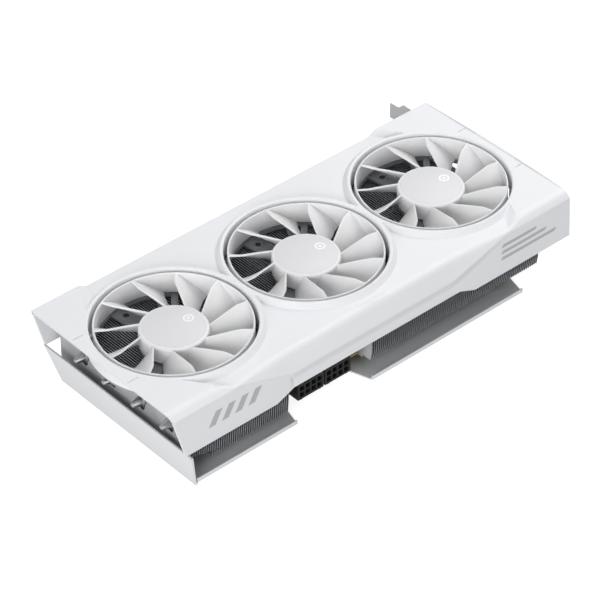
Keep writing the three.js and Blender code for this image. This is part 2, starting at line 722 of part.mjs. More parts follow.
// The sprung cross that pulls the cooler down on the chip, and its screws.
function retentionCross() {
  const arm = RETENTION_HALF * Math.SQRT2;
  const height = [1.5 + GAP, 2.9];
  const arms = [45, 135].map((angle) => (
    box([-arm - 3.5, arm + 3.5], [-4, 4], height).rotate([0, 0, angle]).translate([GPU_X, GPU_Y, 0])
  ));
  return cut(union(arms), RETENTION_SPOTS.map(([x, y]) => cylinder(x, y, 1.8, [0, 5], 12)));
}

function retentionScrew([x, y]) {
  return union([
    cylinder(x, y, 2.9, [0.3, 1.5], 16),
    cylinder(x, y, 1.45, [1.4, 8.2], 12),
  ]);
}

// ---------------------------------------------------------------- assembly
addShroud();
FAN_NAMES.forEach((name, i) => addFan(name, FAN_CENTRES[i], FAN_REST_ANGLES[i]));
addCooler();
addBoard();
addChips();
[-44.3, -24.9].forEach((x, i) => (
  addPiece(`power_connector_${i + 1}`, powerConnector(x), BLACK_PLASTIC)
));
PORTS.forEach(([name, y, width, height]) => addPiece(name, port(y, width, height), STEEL));
addPiece('io_bracket', ioBracket(), STEEL);
BRACKET_SCREW_SPOTS.forEach((spot, i) => (
  addPiece(`bracket_screw_${i + 1}`, bracketScrew(spot), STEEL)
));
addPiece('backplate', backplate(), PAINTED_METAL);
addPiece('retention_cross', retentionCross(), STEEL);
RETENTION_SPOTS.forEach((spot, i) => (
  addPiece(`retention_screw_${i + 1}`, retentionScrew(spot), STEEL)
));

const cardRight = BRACKET_INNER + BRACKET_THICKNESS + FOLD_DEPTH;
card.position.x = -(SHROUD_LEFT + cardRight) / 2;
card.position.y = -(PLATE_NEAR + TONGUE_TIP) / 2;

export default card;
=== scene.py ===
"""Graphics card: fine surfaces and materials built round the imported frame.

Shapes are laid out in millimetres, X and Y from the middle fan's axis and Z from the outer face
of the backplate, and become metres in the row frame in place()."""
import json
import math

import bmesh
import bpy
import numpy as np
from mathutils import Matrix, Vector
from mathutils.geometry import delaunay_2d_cdt


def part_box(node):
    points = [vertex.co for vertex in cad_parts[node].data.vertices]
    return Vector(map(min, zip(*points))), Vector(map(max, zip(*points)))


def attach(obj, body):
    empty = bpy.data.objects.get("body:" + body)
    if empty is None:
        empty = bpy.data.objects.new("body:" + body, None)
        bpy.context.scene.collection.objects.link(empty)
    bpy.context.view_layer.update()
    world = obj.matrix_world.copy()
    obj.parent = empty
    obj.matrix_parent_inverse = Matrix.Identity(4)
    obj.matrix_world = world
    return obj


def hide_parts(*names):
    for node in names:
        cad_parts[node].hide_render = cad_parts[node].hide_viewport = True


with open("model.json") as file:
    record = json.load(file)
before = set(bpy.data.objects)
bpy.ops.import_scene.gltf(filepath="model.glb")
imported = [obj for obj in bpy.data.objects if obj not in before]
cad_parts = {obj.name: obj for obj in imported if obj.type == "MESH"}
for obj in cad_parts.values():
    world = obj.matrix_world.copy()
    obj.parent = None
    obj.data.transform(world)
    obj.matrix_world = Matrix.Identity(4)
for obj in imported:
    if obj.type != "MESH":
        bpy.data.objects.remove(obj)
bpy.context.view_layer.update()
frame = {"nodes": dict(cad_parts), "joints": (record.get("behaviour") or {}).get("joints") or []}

MM = 0.001
FANS = ["left", "middle", "right"]
AXES = {joint["child"]: Vector(joint["pos_m"]) for joint in frame["joints"]}
ORIGIN = AXES["fan_middle_rotor"]
FAN_X = [(AXES[f"fan_{fan}_rotor"].x - ORIGIN.x) / MM for fan in FANS]


def place(point):
    """A point of the design, in metres in the row frame."""
    x, y, z = point
    return (ORIGIN.x + x * MM, ORIGIN.y + y * MM, z * MM)


def span(node):
    """The lowest and highest corners of a CAD node in design millimetres."""
    return [
        ((corner.x - ORIGIN.x) / MM, (corner.y - ORIGIN.y) / MM, corner.z / MM)
        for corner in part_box(node)
    ]


def box_limits(node):
    """The limits of a CAD node along X, Y and Z."""
    return list(zip(*span(node)))


def middle_of(node):
    """The centre of a CAD node's box."""
    return [(low + high) / 2 for low, high in box_limits(node)]


TOP = span("fan_shroud")[1][2]


# ---------------------------------------------------------------- materials
BROAD_WAVES = 0.05
ROUGHNESS_SWING = 0.12


def link(tree, output, socket):
    tree.links.new(output, socket)


def preset(node, values):
    """Sets the unlinked sockets of a node."""
    for socket, value in values.items():
        node.inputs[socket].default_value = value


def noise(tree, scale, stretch=(1, 1, 1)):
    """Seamless noise in object space, with the number of waves per millimetre as its scale."""
    coordinates = tree.nodes.new("ShaderNodeTexCoord")
    mapping = tree.nodes.new("ShaderNodeMapping")
    preset(mapping, {"Scale": stretch})
    texture = tree.nodes.new("ShaderNodeTexNoise")
    preset(texture, {"Scale": scale / MM, "Detail": 4.0})
    link(tree, coordinates.outputs["Object"], mapping.inputs["Vector"])
    link(tree, mapping.outputs["Vector"], texture.inputs["Vector"])
    return texture.outputs["Fac"]


def spread(tree, value, low, high):
    """Noise, whose middle half is what shows, stretched to run from low to high."""
    remap = tree.nodes.new("ShaderNodeMapRange")
    preset(remap, {"From Min": 0.3, "From Max": 0.7, "To Min": low, "To Max": high})
    link(tree, value, remap.inputs["Value"])
    return remap.outputs["Result"]


def finish_of(name, color, roughness, metallic=0.0, grain=2.5, bump=0.004, mottle=0.03,
              stretch=(1, 1, 1), coat=0.0, specular=0.5):
    """A principled material whose tone, roughness and relief vary with the surface's grain."""
    material = bpy.data.materials.new(name)
    material.use_nodes = True
    tree = material.node_tree
    shader = tree.nodes["Principled BSDF"]
    preset(shader, {"Metallic": metallic, "Coat Weight": coat, "Specular IOR Level": specular})

    broad = noise(tree, BROAD_WAVES)
    mix = tree.nodes.new("ShaderNodeMix")
    mix.data_type = "RGBA"
    mix.inputs["A"].default_value = (*[c * (1 - mottle) for c in color], 1)
    mix.inputs["B"].default_value = (*[min(1, c * (1 + mottle)) for c in color], 1)
    fine = noise(tree, grain, stretch=stretch)
    blend = tree.nodes.new("ShaderNodeMath")
    blend.operation = "MULTIPLY_ADD"
    blend.inputs[1].default_value = 0.5
    half = tree.nodes.new("ShaderNodeMath")
    half.operation = "MULTIPLY"
    half.inputs[1].default_value = 0.5
    link(tree, broad, half.inputs[0])
    link(tree, fine, blend.inputs[0])
    link(tree, half.outputs[0], blend.inputs[2])
    link(tree, spread(tree, blend.outputs[0], 0, 1), mix.inputs["Factor"])
    link(tree, mix.outputs["Result"], shader.inputs["Base Color"])

    swing = ROUGHNESS_SWING * roughness
    rough = spread(tree, fine, roughness - swing, min(1, roughness + swing))
    link(tree, rough, shader.inputs["Roughness"])

    relief = tree.nodes.new("ShaderNodeBump")
    preset(relief, {"Distance": bump * MM, "Strength": 1.0})
    link(tree, fine, relief.inputs["Height"])
    link(tree, relief.outputs["Normal"], shader.inputs["Normal"])
    return material


LOOKS = {
    "white_shroud": finish_of("shroud_plastic", (0.80, 0.807, 0.825), 0.46, mottle=0.012),
    "white_blades": finish_of("blade_plastic", (0.80, 0.80, 0.805), 0.40, bump=0.002, mottle=0.01),
    "hub_disc": finish_of("hub_foil", (0.705, 0.705, 0.72), 0.42, grain=5, mottle=0.02),
    "hub_mark": finish_of("hub_mark_print", (0.93, 0.93, 0.93), 0.3, mottle=0.01),
    "panel_mark": finish_of("panel_print", (0.47, 0.475, 0.48), 0.5, mottle=0.03),
    "steel_fastener": finish_of("fastener_steel", (0.42, 0.42, 0.44), 0.34, 1.0, grain=6),
    "motor_black": finish_of("motor_plastic", (0.03, 0.03, 0.032), 0.55),
    "fan_frame_grey": finish_of("frame_plastic", (0.33, 0.34, 0.35), 0.5, bump=0.006),
    # Fin sheets are darkened with painted shade, and their folded edges, on the second look, are
    # lightened with a painted highlight; both stand for the same aluminium.
    "fin_aluminium": finish_of("fin_sheet_painted_shade", (0.17, 0.19, 0.20), 0.42, 0.5, grain=1.2,
                               bump=0.002, mottle=0.12, stretch=(6, 0.15, 1)),
    "fin_tab_painted_highlight": finish_of("fin_tab_sheet_painted_highlight", (0.62, 0.65, 0.665), 0.42, 0.15, bump=0.002, mottle=0.06),
    "fin_end": finish_of("fin_end_sheet", (0.50, 0.505, 0.51), 0.45, 0.3, bump=0.002, mottle=0.04,
                         stretch=(1, 0.2, 3)),
    "nickel_plate": finish_of("nickel", (0.62, 0.645, 0.66), 0.24, 1.0, bump=0.0004, mottle=0.02,
                              stretch=(0.1, 1, 1)),
    "copper": finish_of("cold_plate_copper", (0.76, 0.42, 0.28), 0.3, 1.0, stretch=(0.1, 3, 1)),
    "board": finish_of("solder_mask", (0.018, 0.02, 0.023), 0.4, grain=1.5, mottle=0.15, coat=0.2),
    "board_edge": finish_of("fibre_edge", (0.56, 0.43, 0.10), 0.5, grain=6, mottle=0.1),
    "gold": finish_of("contact_gold", (0.86, 0.62, 0.22), 0.25, 1.0, grain=4),
    "solder": finish_of("solder_tin", (0.62, 0.62, 0.63), 0.3, 1.0, grain=6),
    "chip_black": finish_of("chip_epoxy", (0.022, 0.022, 0.024), 0.6, grain=8, mottle=0.1),
    "smd_tan": finish_of("ceramic_tan", (0.33, 0.24, 0.16), 0.5, grain=6, mottle=0.1),
    "silicon": finish_of("die_silicon", (0.08, 0.09, 0.115), 0.12, grain=0.5, bump=0.0005),
    "ferrite": finish_of("ferrite_powder", (0.065, 0.066, 0.07), 0.7, grain=6, mottle=0.2),
    "can_aluminium": finish_of("capacitor_can", (0.7, 0.7, 0.72), 0.3, 1.0, stretch=(3, 3, 0.2)),
    "thermal_pad": finish_of("thermal_pad_grey", (0.30, 0.32, 0.34), 0.85, grain=3, bump=0.02),
    "connector_black": finish_of("connector_nylon", (0.013, 0.013, 0.014), 0.45, bump=0.002,
                                 specular=0.3),
    "port_shell": finish_of("port_shell_steel", (0.60, 0.60, 0.61), 0.3, 1.0, stretch=(0.2, 3, 3)),
    "bracket_steel": finish_of("bracket_plate_steel", (0.66, 0.665, 0.675), 0.36, 0.6,
                               grain=1.5, stretch=(1, 0.15, 2)),
    "backplate_paint": finish_of("backplate_outer_paint", (0.74, 0.75, 0.765), 0.42,
                                 mottle=0.015, bump=0.006),
    "backplate_inner": finish_of("backplate_inner_metal", (0.55, 0.555, 0.565), 0.5, 0.3,
                                 bump=0.002, mottle=0.03, stretch=(0.2, 1, 1)),
}


# ---------------------------------------------------------------- shapes and pieces
class Shape:
    """Points and faces in design millimetres, gathered from several closed bodies."""

    def __init__(self, points=(), faces=(), paint=0):
        self.points = [tuple(p) for p in points]
        self.faces = [tuple(f) for f in faces]
        self.paint = [paint] * len(self.faces)

    def add(self, other):
        base = len(self.points)
        self.points += other.points
        self.faces += [tuple(i + base for i in face) for face in other.faces]
        self.paint += other.paint
        return self

    def moved(self, matrix):
        copy = Shape([tuple(matrix @ Vector(p)) for p in self.points], self.faces)
        copy.paint = list(self.paint)
        return copy

    def shifted(self, x=0, y=0, z=0):
        return self.moved(Matrix.Translation((x, y, z)))

    def turned(self, degrees, axis="Z"):
        return self.moved(Matrix.Rotation(math.radians(degrees), 4, axis))


def gather(shapes):
    whole = Shape()
    for shape in shapes:
        whole.add(shape)
    return whole


def put(name, data):
    """An object in the scene that holds the data."""
    thing = bpy.data.objects.new(name, data)
    bpy.context.scene.collection.objects.link(thing)
    return thing


def piece(name, shape, look, body="card", stands_for=(), other_looks=(), sharp=32):
    """A shape as a Blender object that rides on a body."""
    mesh = bpy.data.meshes.new(name)
    mesh.from_pydata([place(p) for p in shape.points], [], shape.faces)
    for material in (look, *other_looks):
        mesh.materials.append(LOOKS[material])
    mesh.polygons.foreach_set("material_index", shape.paint)
    mesh.validate()
    mesh.shade_smooth()
    mesh.set_sharp_from_angle(angle=math.radians(sharp))
    thing = put(name, mesh)
    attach(thing, body)
    if stands_for:
        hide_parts(*stands_for)
    return thing


def restyle(node, look):
    """A CAD node keeps its shape and gets a finer material."""
    for material_slot in frame["nodes"][node].material_slots:
        material_slot.material = LOOKS[look]


def around(middle, half):
    """The limits of a stretch, from its middle."""
    return (middle - half, middle + half)


def block(x, y, z, paint=0):
    """A plain box between pairs of limits, for the smallest parts."""
    points = [(x[i], y[j], z[k]) for i in (0, 1) for j in (0, 1) for k in (0, 1)]
    faces = [(0, 1, 3, 2), (4, 6, 7, 5), (0, 4, 5, 1), (2, 3, 7, 6), (0, 2, 6, 4), (1, 5, 7, 3)]
    return Shape(points, faces, paint)


def from_bmesh(bm):
    bm.verts.index_update()
    shape = Shape([v.co[:] for v in bm.verts], [[v.index for v in f.verts] for f in bm.faces])
    bm.free()
    return shape


def rounded_box(x, y, z, radius, segments=2):
    """A box between pairs of limits with rounded edges."""
    bm = bmesh.new()
    bmesh.ops.create_cube(bm, size=1)
    centre = Vector(((x[0] + x[1]) / 2, (y[0] + y[1]) / 2, (z[0] + z[1]) / 2))
    size = Vector((x[1] - x[0], y[1] - y[0], z[1] - z[0]))
    for vertex in bm.verts:
        vertex.co = centre + Vector(a * b for a, b in zip(vertex.co, size))
    radius = min(radius, 0.45 * min(size))
    bmesh.ops.bevel(bm, geom=bm.edges[:], offset=radius, segments=segments, profile=0.5,
                    affect="EDGES")
    return from_bmesh(bm)


def grid_faces(rows, columns, wrap=False):
    faces = []
    for i in range(rows - 1):
        for j in range(columns if wrap else columns - 1):
            k = (j + 1) % columns
            faces.append((i * columns + j, i * columns + k, (i + 1) * columns + k,
                          (i + 1) * columns + j))
    return faces


def loft(loops, paint=0):
    """A closed skin over loops of equally many points, with flat ends."""
    count = len(loops[0])
    faces = grid_faces(len(loops), count, wrap=True)
    last = (len(loops) - 1) * count
    faces.append(tuple(reversed(range(count))))
    faces.append(tuple(range(last, last + count)))
    return outward(Shape([p for loop in loops for p in loop], faces, paint))


def outward(shape):
    """The same closed body with its faces pointing out."""
    points = np.array(shape.points)
    volume = 0.0
    for face in shape.faces:
        a = points[face[0]]
        for i in range(1, len(face) - 1):
            volume += np.dot(a, np.cross(points[face[i]], points[face[i + 1]]))
    if volume < 0:
        shape.faces = [tuple(reversed(face)) for face in shape.faces]
    return shape


def lathe(profile, segments=64):
    """A closed body turned round Z from points of radius and height; a radius of 0 is a pole."""
    points, rows = [], []
    for radius, z in profile:
        if radius == 0:
            rows.append([len(points)] * segments)
            points.append((0, 0, z))
            continue
        rows.append(list(range(len(points), len(points) + segments)))
        for j in range(segments):
            angle = 2 * math.pi * j / segments
            points.append((radius * math.cos(angle), radius * math.sin(angle), z))
    faces = []
    closed = profile[0][0] != 0
    pairs = list(zip(rows, rows[1:] + rows[:1])) if closed else list(zip(rows, rows[1:]))
    for lower, upper in pairs:
        for j in range(segments):
            k = (j + 1) % segments
            corners = [lower[j], lower[k], upper[k], upper[j]]
            unique = list(dict.fromkeys(corners))
            if len(unique) > 2:
                faces.append(tuple(unique))
    return outward(Shape(points, faces))


def drum(radius, low, high, segments):
    """A plain round disc between two heights."""
    return lathe([(0, low), (radius, low), (radius, high), (0, high)], segments)


def tube(path, radii, sides=24):
    """A round rod along a path that stays in a plane of constant Y."""
    loops = []
    for i, (point, radius) in enumerate(zip(path, radii)):
        ahead, behind = path[min(i + 1, len(path) - 1)], path[max(i - 1, 0)]
        along = (Vector(ahead) - Vector(behind)).normalized()
        side = Vector((0, 1, 0))
        up = along.cross(side).normalized()
        loops.append([
            tuple(Vector(point) + radius * (math.cos(a) * side + math.sin(a) * up))
            for a in (2 * math.pi * k / sides for k in range(sides))
        ])
    return loft(loops)


def arc(centre, radius, start, end, steps):
    """Points round a centre, from one angle to another in degrees."""
    angles = np.radians(np.linspace(start, end, steps + 1))
    return [(centre[0] + radius * math.cos(a), centre[1] + radius * math.sin(a)) for a in angles]


def circle(x, y, radius, segments=28):
    return arc((x, y), radius, 0, 360 - 360 / segments, segments - 1)


def rectangle(u, v):
    return [(u[0], v[0]), (u[1], v[0]), (u[1], v[1]), (u[0], v[1])]


def contains(loop, points):
    """Which of the points lie inside a loop."""
    x, y = points[:, 0], points[:, 1]
    inside = np.zeros(len(points), bool)
    for (x0, y0), (x1, y1) in zip(loop, loop[1:] + loop[:1]):
        crosses = (y0 > y) != (y1 > y)
        rise = y1 - y0 if y1 != y0 else 1e-12
        inside ^= crosses & (x < x0 + (x1 - x0) * (y - y0) / rise)
    return inside


def triangles_between(points, loops, keep):
    """Triangles over the points that respect the loops, where keep says so of their middles."""
    edges, start = [], 0
    for loop in loops:
        count = len(loop)
        edges += [(start + i, start + (i + 1) % count) for i in range(count)]
        start += count
    corners = [Vector(p) for loop in loops for p in loop] + [Vector(p) for p in points]
    flat, _, faces, *_ = delaunay_2d_cdt(corners, edges, [], 0, 1e-6)
    flat = np.array([tuple(v) for v in flat])
    faces = np.array([f for f in faces if len(f) == 3])
    faces = faces[keep(flat[faces].mean(axis=1))]
    a, b, c = (flat[faces[:, k]] for k in range(3))
    area = (b[:, 0] - a[:, 0]) * (c[:, 1] - a[:, 1]) - (b[:, 1] - a[:, 1]) * (c[:, 0] - a[:, 0])
    faces[area < 0] = faces[area < 0][:, ::-1]
    return flat, faces


SHEET_AXES = {
    "XY": Matrix.Identity(4),
    "YZ": Matrix(((0, 0, 1, 0), (1, 0, 0, 0), (0, 1, 0, 0), (0, 0, 0, 1))),
    "ZX": Matrix(((0, 1, 0, 0), (0, 0, 1, 0), (1, 0, 0, 0), (0, 0, 0, 1))),
}


def sheet(outline, holes, low, high, edge=0.15, axes="XY"):
    """A plate with holes, between two levels, with its sharp edges eased."""
    def keep(middles):
        inside = contains(outline, middles)
        for hole in holes:
            inside &= ~contains(hole, middles)
        return inside

    flat, faces = triangles_between([], [outline, *holes], keep)
    bm = bmesh.new()
    vertices = [bm.verts.new((u, v, low)) for u, v in flat]
    bottom = [bm.faces.new([vertices[i] for i in reversed(face)]) for face in faces]
    grown = bmesh.ops.extrude_face_region(bm, geom=bottom)
    top = [g for g in grown["geom"] if isinstance(g, bmesh.types.BMVert)]
    bmesh.ops.translate(bm, verts=top, vec=(0, 0, high - low))
    loose = [v for v in bm.verts if not v.link_faces]
    bmesh.ops.delete(bm, geom=loose, context="VERTS")
    bmesh.ops.recalc_face_normals(bm, faces=bm.faces[:])
    bmesh.ops.dissolve_limit(bm, angle_limit=0.01, verts=bm.verts[:], edges=bm.edges[:])
    level = [
        e for e in bm.edges
        if len(e.link_faces) == 2 and e.calc_face_angle(0) > 1.2
        and abs(e.verts[0].co.z - e.verts[1].co.z) < 1e-6
    ]
    bmesh.ops.bevel(bm, geom=level, offset=edge, segments=2, profile=0.5, affect="EDGES",
                    clamp_overlap=True)
    return from_bmesh(bm).moved(SHEET_AXES[axes])


def round_corners(corners, radius, steps=4):
    """An outline with each corner replaced by a smooth curve that starts radius from it."""
    rounded = []
    for i, corner in enumerate(corners):
        before, after = Vector(corners[i - 1]), Vector(corners[(i + 1) % len(corners)])
        here = Vector(corner)
        reach = min(radius, 0.45 * (before - here).length, 0.45 * (after - here).length)
        start = here + reach * (before - here).normalized()
        end = here + reach * (after - here).normalized()
        for step in range(steps + 1):
            t = step / steps
            rounded.append(tuple((1 - t) ** 2 * start + 2 * t * (1 - t) * here + t * t * end))
    return rounded


# ---------------------------------------------------------------- fan shroud
RECESS = 2.9
SHROUD_SKIN = 1.9
SHROUD_LEFT, SHROUD_RIGHT = box_limits("fan_shroud")[0]
SHROUD_FAR = span("fan_shroud")[1][1]
PANEL = -60.0
LEFT_SLOPE_NEAR, LEFT_SLOPE_FAR = 8.9 / 30.8, 7.1 / 26.8
RIGHT_FLARE = 2.1 / 30.8
OPENING_RADIUS = 45.4
LIP_RADIUS = 46.6
RIM_RADIUS, RIM_FOOT = 47.2, 49.8
DUCT_DEPTH = 12.2
MESH_STEP = 0.8
OPENING_SIDES = 240
RING_RADII = (RIM_RADIUS, 47.9, 48.6, 49.3, RIM_FOOT - 0.15, RIM_FOOT + 0.2, 50.8, 51.7)
GRID_CLEARANCE, CREASE_CLEARANCE = 52.3, 52.2
END_BLOCK = 125
SOCKET_CUT_OUT = 29
RECESS_RIM = [
    (-110, 61), (-123, 38), (-122.6, -38), (-103.5, -64), (102, -64), (112.6, -43.6),
    (114.1, 44.4), (100.8, 61),
]
RECESS_FLOOR = [
    (-105, 61), (-117.4, 41.5), (-118, -40), (-98, -64), (94, -64), (104.7, -47.5),
    (109.5, 46.5), (94.3, 61),
]
RECESS_WALLS = [0, 1, 2, 4, 5, 6]
GROOVES = [(-144.1, -137, 23), (-144.1, -137, -23), (138, 143.4, 23.5), (138, 143.4, -22.5)]
GROOVE_HALF, GROOVE_DEPTH = 0.32, 1.2

# Stations of the near side's edges: x, y and the depth below the top face.
NEAR_TOP_EDGE = [(-105, -56.5, 0), (-65, -55.3, 0), (53, -55.3, 0), (98, -56.5, 0)]
FACET_EDGE = [(-99, -60, 3.5), (-65, -61.5, 14.3), (53, -61.5, 14.3), (96, -60, 3.5)]
UNDERCUT_EDGE = [(-99, -60, 3.9), (-65, -60.1, 15.5), (-62, -59, 20.8), (58, -59, 20.8),
                 (101, -60, 3.9)]
NEAR_BOTTOM_EDGE = [(-73.6, -60, 30.8), (-62, -60, 25.9), (59.8, -60, 25.9), (71.4, -60, 30.8)]
FAR_BOTTOM = 26.5


def fan_reach(x, y, centres=FAN_X):
    """How far points lie from the nearest of the fans' axes."""
    return np.min([np.hypot(x - centre, y) for centre in centres], axis=0)


def outline_side(line, index):
    """The start and end of one side of a closed outline."""
    return line[index], line[(index + 1) % len(line)]


def smooth_min(a, b, width):
    share = np.clip(0.5 + 0.5 * (b - a) / width, 0, 1)
    return b * (1 - share) + a * share - width * share * (1 - share)


def smooth_max(a, b, width):
    return -smooth_min(-a, -b, width)


def inside_line(x, y, start, end):
    """How far left of the line from start to end a point lies."""
    (x0, y0), (x1, y1) = start, end
    return ((x1 - x0) * (y - y0) - (y1 - y0) * (x - x0)) / math.hypot(x1 - x0, y1 - y0)


def shroud_height(x, y):
    """The height of the shroud's upper face: end blocks, sloping walls, recess and fan rims."""
    x, y = np.asarray(x, float), np.asarray(y, float)
    share = np.full(np.broadcast(x, y).shape, 9.0)
    for i in RECESS_WALLS:
        past_rim = inside_line(x, y, *outline_side(RECESS_RIM, i))
        past_floor = inside_line(x, y, *outline_side(RECESS_FLOOR, i))
        share = smooth_min(share, past_rim / np.maximum(past_rim - past_floor, 0.5), 0.02)
    share = smooth_min(smooth_max(share, 0.0, 0.03), 1.0, 0.06)
    height = TOP - RECESS * np.clip(share, 0, 1)
    reach = fan_reach(x, y)
    cone = TOP - np.clip(RECESS * (reach - RIM_RADIUS) / (RIM_FOOT - RIM_RADIUS), 0, 6)
    height = np.minimum(smooth_max(height, cone, 0.25), TOP)
    for x0, x1, line in GROOVES:
        there = (x >= x0) & (x <= x1)
        dip = GROOVE_DEPTH * np.clip(1 - np.abs(y - line) / GROOVE_HALF, 0, 1)
        height = height - np.where(there, dip, 0)
    return height


def on_face(x, y):
    """Y and height of the upper face at each x and y."""
    return np.array([y, shroud_height(x, y)])


def edge_at(stations, x):
    """Y and height of a near-side edge at each x."""
    stations = np.array(stations, float)
    return (np.interp(x, stations[:, 0], stations[:, 1]),
            TOP - np.interp(x, stations[:, 0], stations[:, 2]))


def corner_curve(before, corner, after, reach, steps):
    """Points that round a corner between two neighbours, for every station at once."""
    def toward(point):
        gap = np.hypot(*(point - corner))
        return corner + (point - corner) * np.minimum(reach, 0.45 * gap) / np.maximum(gap, 1e-6)

    start, end = toward(before), toward(after)
    ts = np.linspace(0, 1, steps + 1)
    return [(1 - t) ** 2 * start + 2 * t * (1 - t) * corner + t * t * end for t in ts]


def bridge(start, end, steps):
    """Points strictly between two rows of points."""
    return [start + (end - start) * k / steps for k in range(1, steps)]


def near_rows(x):
    """Rows of (y, z) down the near side, from the upper face to the bottom edge."""
    top_y, top_z = edge_at(NEAR_TOP_EDGE, x)
    facet = np.array(edge_at(FACET_EDGE, x))
    undercut = np.array(edge_at(UNDERCUT_EDGE, x))
    bottom = np.array(edge_at(NEAR_BOTTOM_EDGE, x))
    middle = np.interp(x, [-104, -90, 84, 102], [0, 1, 1, 0])
    crease_y = top_y
    for _ in range(3):
        height = shroud_height(x, crease_y + 0.5)
        crease_y = top_y + (facet[0] - top_y) * (top_z - height) / (top_z - facet[1])
    crease = np.array([crease_y, height])
    first = corner_curve(on_face(x, crease_y + 8), crease, facet, 3.3, 7)
    first[0] = on_face(x, first[0][0])
    second = corner_curve(crease, facet, undercut, 2.2 - 1.6 * middle, 4)
    third = corner_curve(facet, undercut, bottom, 2.4 - 1.5 * middle, 4)
    rows = first + bridge(first[-1], second[0], 5) + second
    rows += bridge(second[-1], third[0], 4) + third
    return rows + bridge(third[-1], bottom, 8) + [bottom]


def far_rows(x):
    """Rows of (y, z) down the far side, from the upper face to the bottom edge."""
    height = shroud_height(x, np.full_like(x, SHROUD_FAR - 0.6))
    corner = np.array([np.full_like(x, SHROUD_FAR), height])
    inner = on_face(x, np.full_like(x, SHROUD_FAR - 4))
    bottom = np.array([np.full_like(x, SHROUD_FAR), np.full_like(x, TOP - FAR_BOTTOM)])
    first = corner_curve(inner, corner, bottom, 0.6, 4)
    first[0] = on_face(x, first[0][0])
    return first + bridge(first[-1], bottom, 8) + [bottom]


def strip(x, rows, slope, flare):
    """A sheet through rows of points, whose ends slant as they go down."""
    slant = np.clip((-END_BLOCK - x) / (-END_BLOCK - SHROUD_LEFT), 0, 1)
    widening = np.clip((x - END_BLOCK) / (SHROUD_RIGHT - END_BLOCK), 0, 1)
    points = []
    for y, z in rows:
        depth = np.maximum(TOP - z, 0)
        points += list(zip(x + depth * (slope * slant + flare * widening), y, z))
    return Shape(points, grid_faces(len(rows), len(x)))


def crease_points():
    """Points along the edges of the recess's sloping walls."""
    points = []
    for line in (RECESS_RIM, RECESS_FLOOR):
        for i in RECESS_WALLS:
            start, end = np.array(outline_side(line, i), float)
            steps = int(np.hypot(*(end - start)) / MESH_STEP)
            points += [start + (end - start) * k / steps for k in range(steps + 1)]
    points = np.array(points)
    return points[fan_reach(*points.T) > CREASE_CLEARANCE]


def clear_of(points, others, gap):
    """The points that keep a gap to every one of the others."""
    kept = np.ones(len(points), bool)
    for other in others:
        near = np.abs(points[:, 0] - other[0]) < gap
        kept[near] &= np.hypot(*(points[near] - other).T) >= gap
    return points[kept]


def upper_face(x, near, far):
    """The upper face between its two long edges, outside the fan openings."""
    left = np.arange(near[0] + MESH_STEP, far[0], MESH_STEP)
    right = np.arange(near[-1] + MESH_STEP, far[-1], MESH_STEP)
    outline = list(zip(x, near))
    outline += [(x[-1], y) for y in right]
    outline += list(zip(x[::-1], far[::-1]))
    outline += [(x[0], y) for y in left[::-1]]
    openings = [circle(centre, 0, LIP_RADIUS, OPENING_SIDES) for centre in FAN_X]

    rings = []
    for index, centre in enumerate(FAN_X):
        for radius in RING_RADII:
            ring = np.array(circle(centre, 0, radius, OPENING_SIDES))
            others = FAN_X[:index] + FAN_X[index + 1:]
            rings.append(ring[fan_reach(*ring.T, others) > radius + 0.35])
    grid = np.array([(a, b) for a in x[1:-1] for b in np.arange(-56, 57, MESH_STEP)])
    grid = grid[fan_reach(*grid.T) > GRID_CLEARANCE]
    for x0, x1, line in GROOVES:
        close = (grid[:, 0] > x0 - 0.6) & (grid[:, 0] < x1 + 0.6) & (abs(grid[:, 1] - line) < 0.9)
        grid = grid[~close]
    creases = crease_points()
    points = np.vstack([clear_of(grid, creases, 0.5), creases, *rings])
    low, high = np.interp(points[:, 0], x, near), np.interp(points[:, 0], x, far)
    points = points[(points[:, 1] > low + 0.3) & (points[:, 1] < high - 0.3)]
    carved = [
        (a, line + offset)
        for x0, x1, line in GROOVES
        for a in np.linspace(x0, x1, 9)
        for offset in (-GROOVE_HALF, 0, GROOVE_HALF)
    ]

    def keep(middles):
        below, above = np.interp(middles[:, 0], x, near), np.interp(middles[:, 0], x, far)
        inside = (middles[:, 1] > below) & (middles[:, 1] < above)
        return inside & (fan_reach(*middles.T) > LIP_RADIUS - 0.01)

    flat, faces = triangles_between([*points, *carved], [outline, *openings], keep)
    heights = shroud_height(flat[:, 0], flat[:, 1])
    return Shape(np.column_stack([flat, heights]), faces)


def duct(centre):
    """The lip of a fan opening and the wall below it."""
    profile = [(LIP_RADIUS, 0), (46.3, 0), (45.95, 0.06), (45.65, 0.22), (45.46, 0.5),
               (OPENING_RADIUS, 0.9)]
    profile += [(OPENING_RADIUS, depth) for depth in np.linspace(1.8, DUCT_DEPTH, 9)]
    points = []
    for radius, depth in profile:
        points += [(x, y, TOP - depth) for x, y in circle(centre, 0, radius, OPENING_SIDES)]
    return Shape(points, grid_faces(len(profile), OPENING_SIDES, wrap=True))


def end_wall(x, near, far, left_of_far):
    """The wall at the bracket's end, down to the cut-out for the sockets."""
    near_side = [
        (x[-1] + RIGHT_FLARE * (TOP - row[1][-1]), row[0][-1], row[1][-1])
        for row in near if row[1][-1] >= SOCKET_CUT_OUT
    ]
    far_side = [(x[-1], row[0][-1], row[1][-1]) for row in far if row[1][-1] >= SOCKET_CUT_OUT]
    middle = [(x[-1], y, float(shroud_height(x[-1], y))) for y in left_of_far]
    loop = near_side[::-1] + middle + far_side
    return Shape(loop, [tuple(range(len(loop)))])


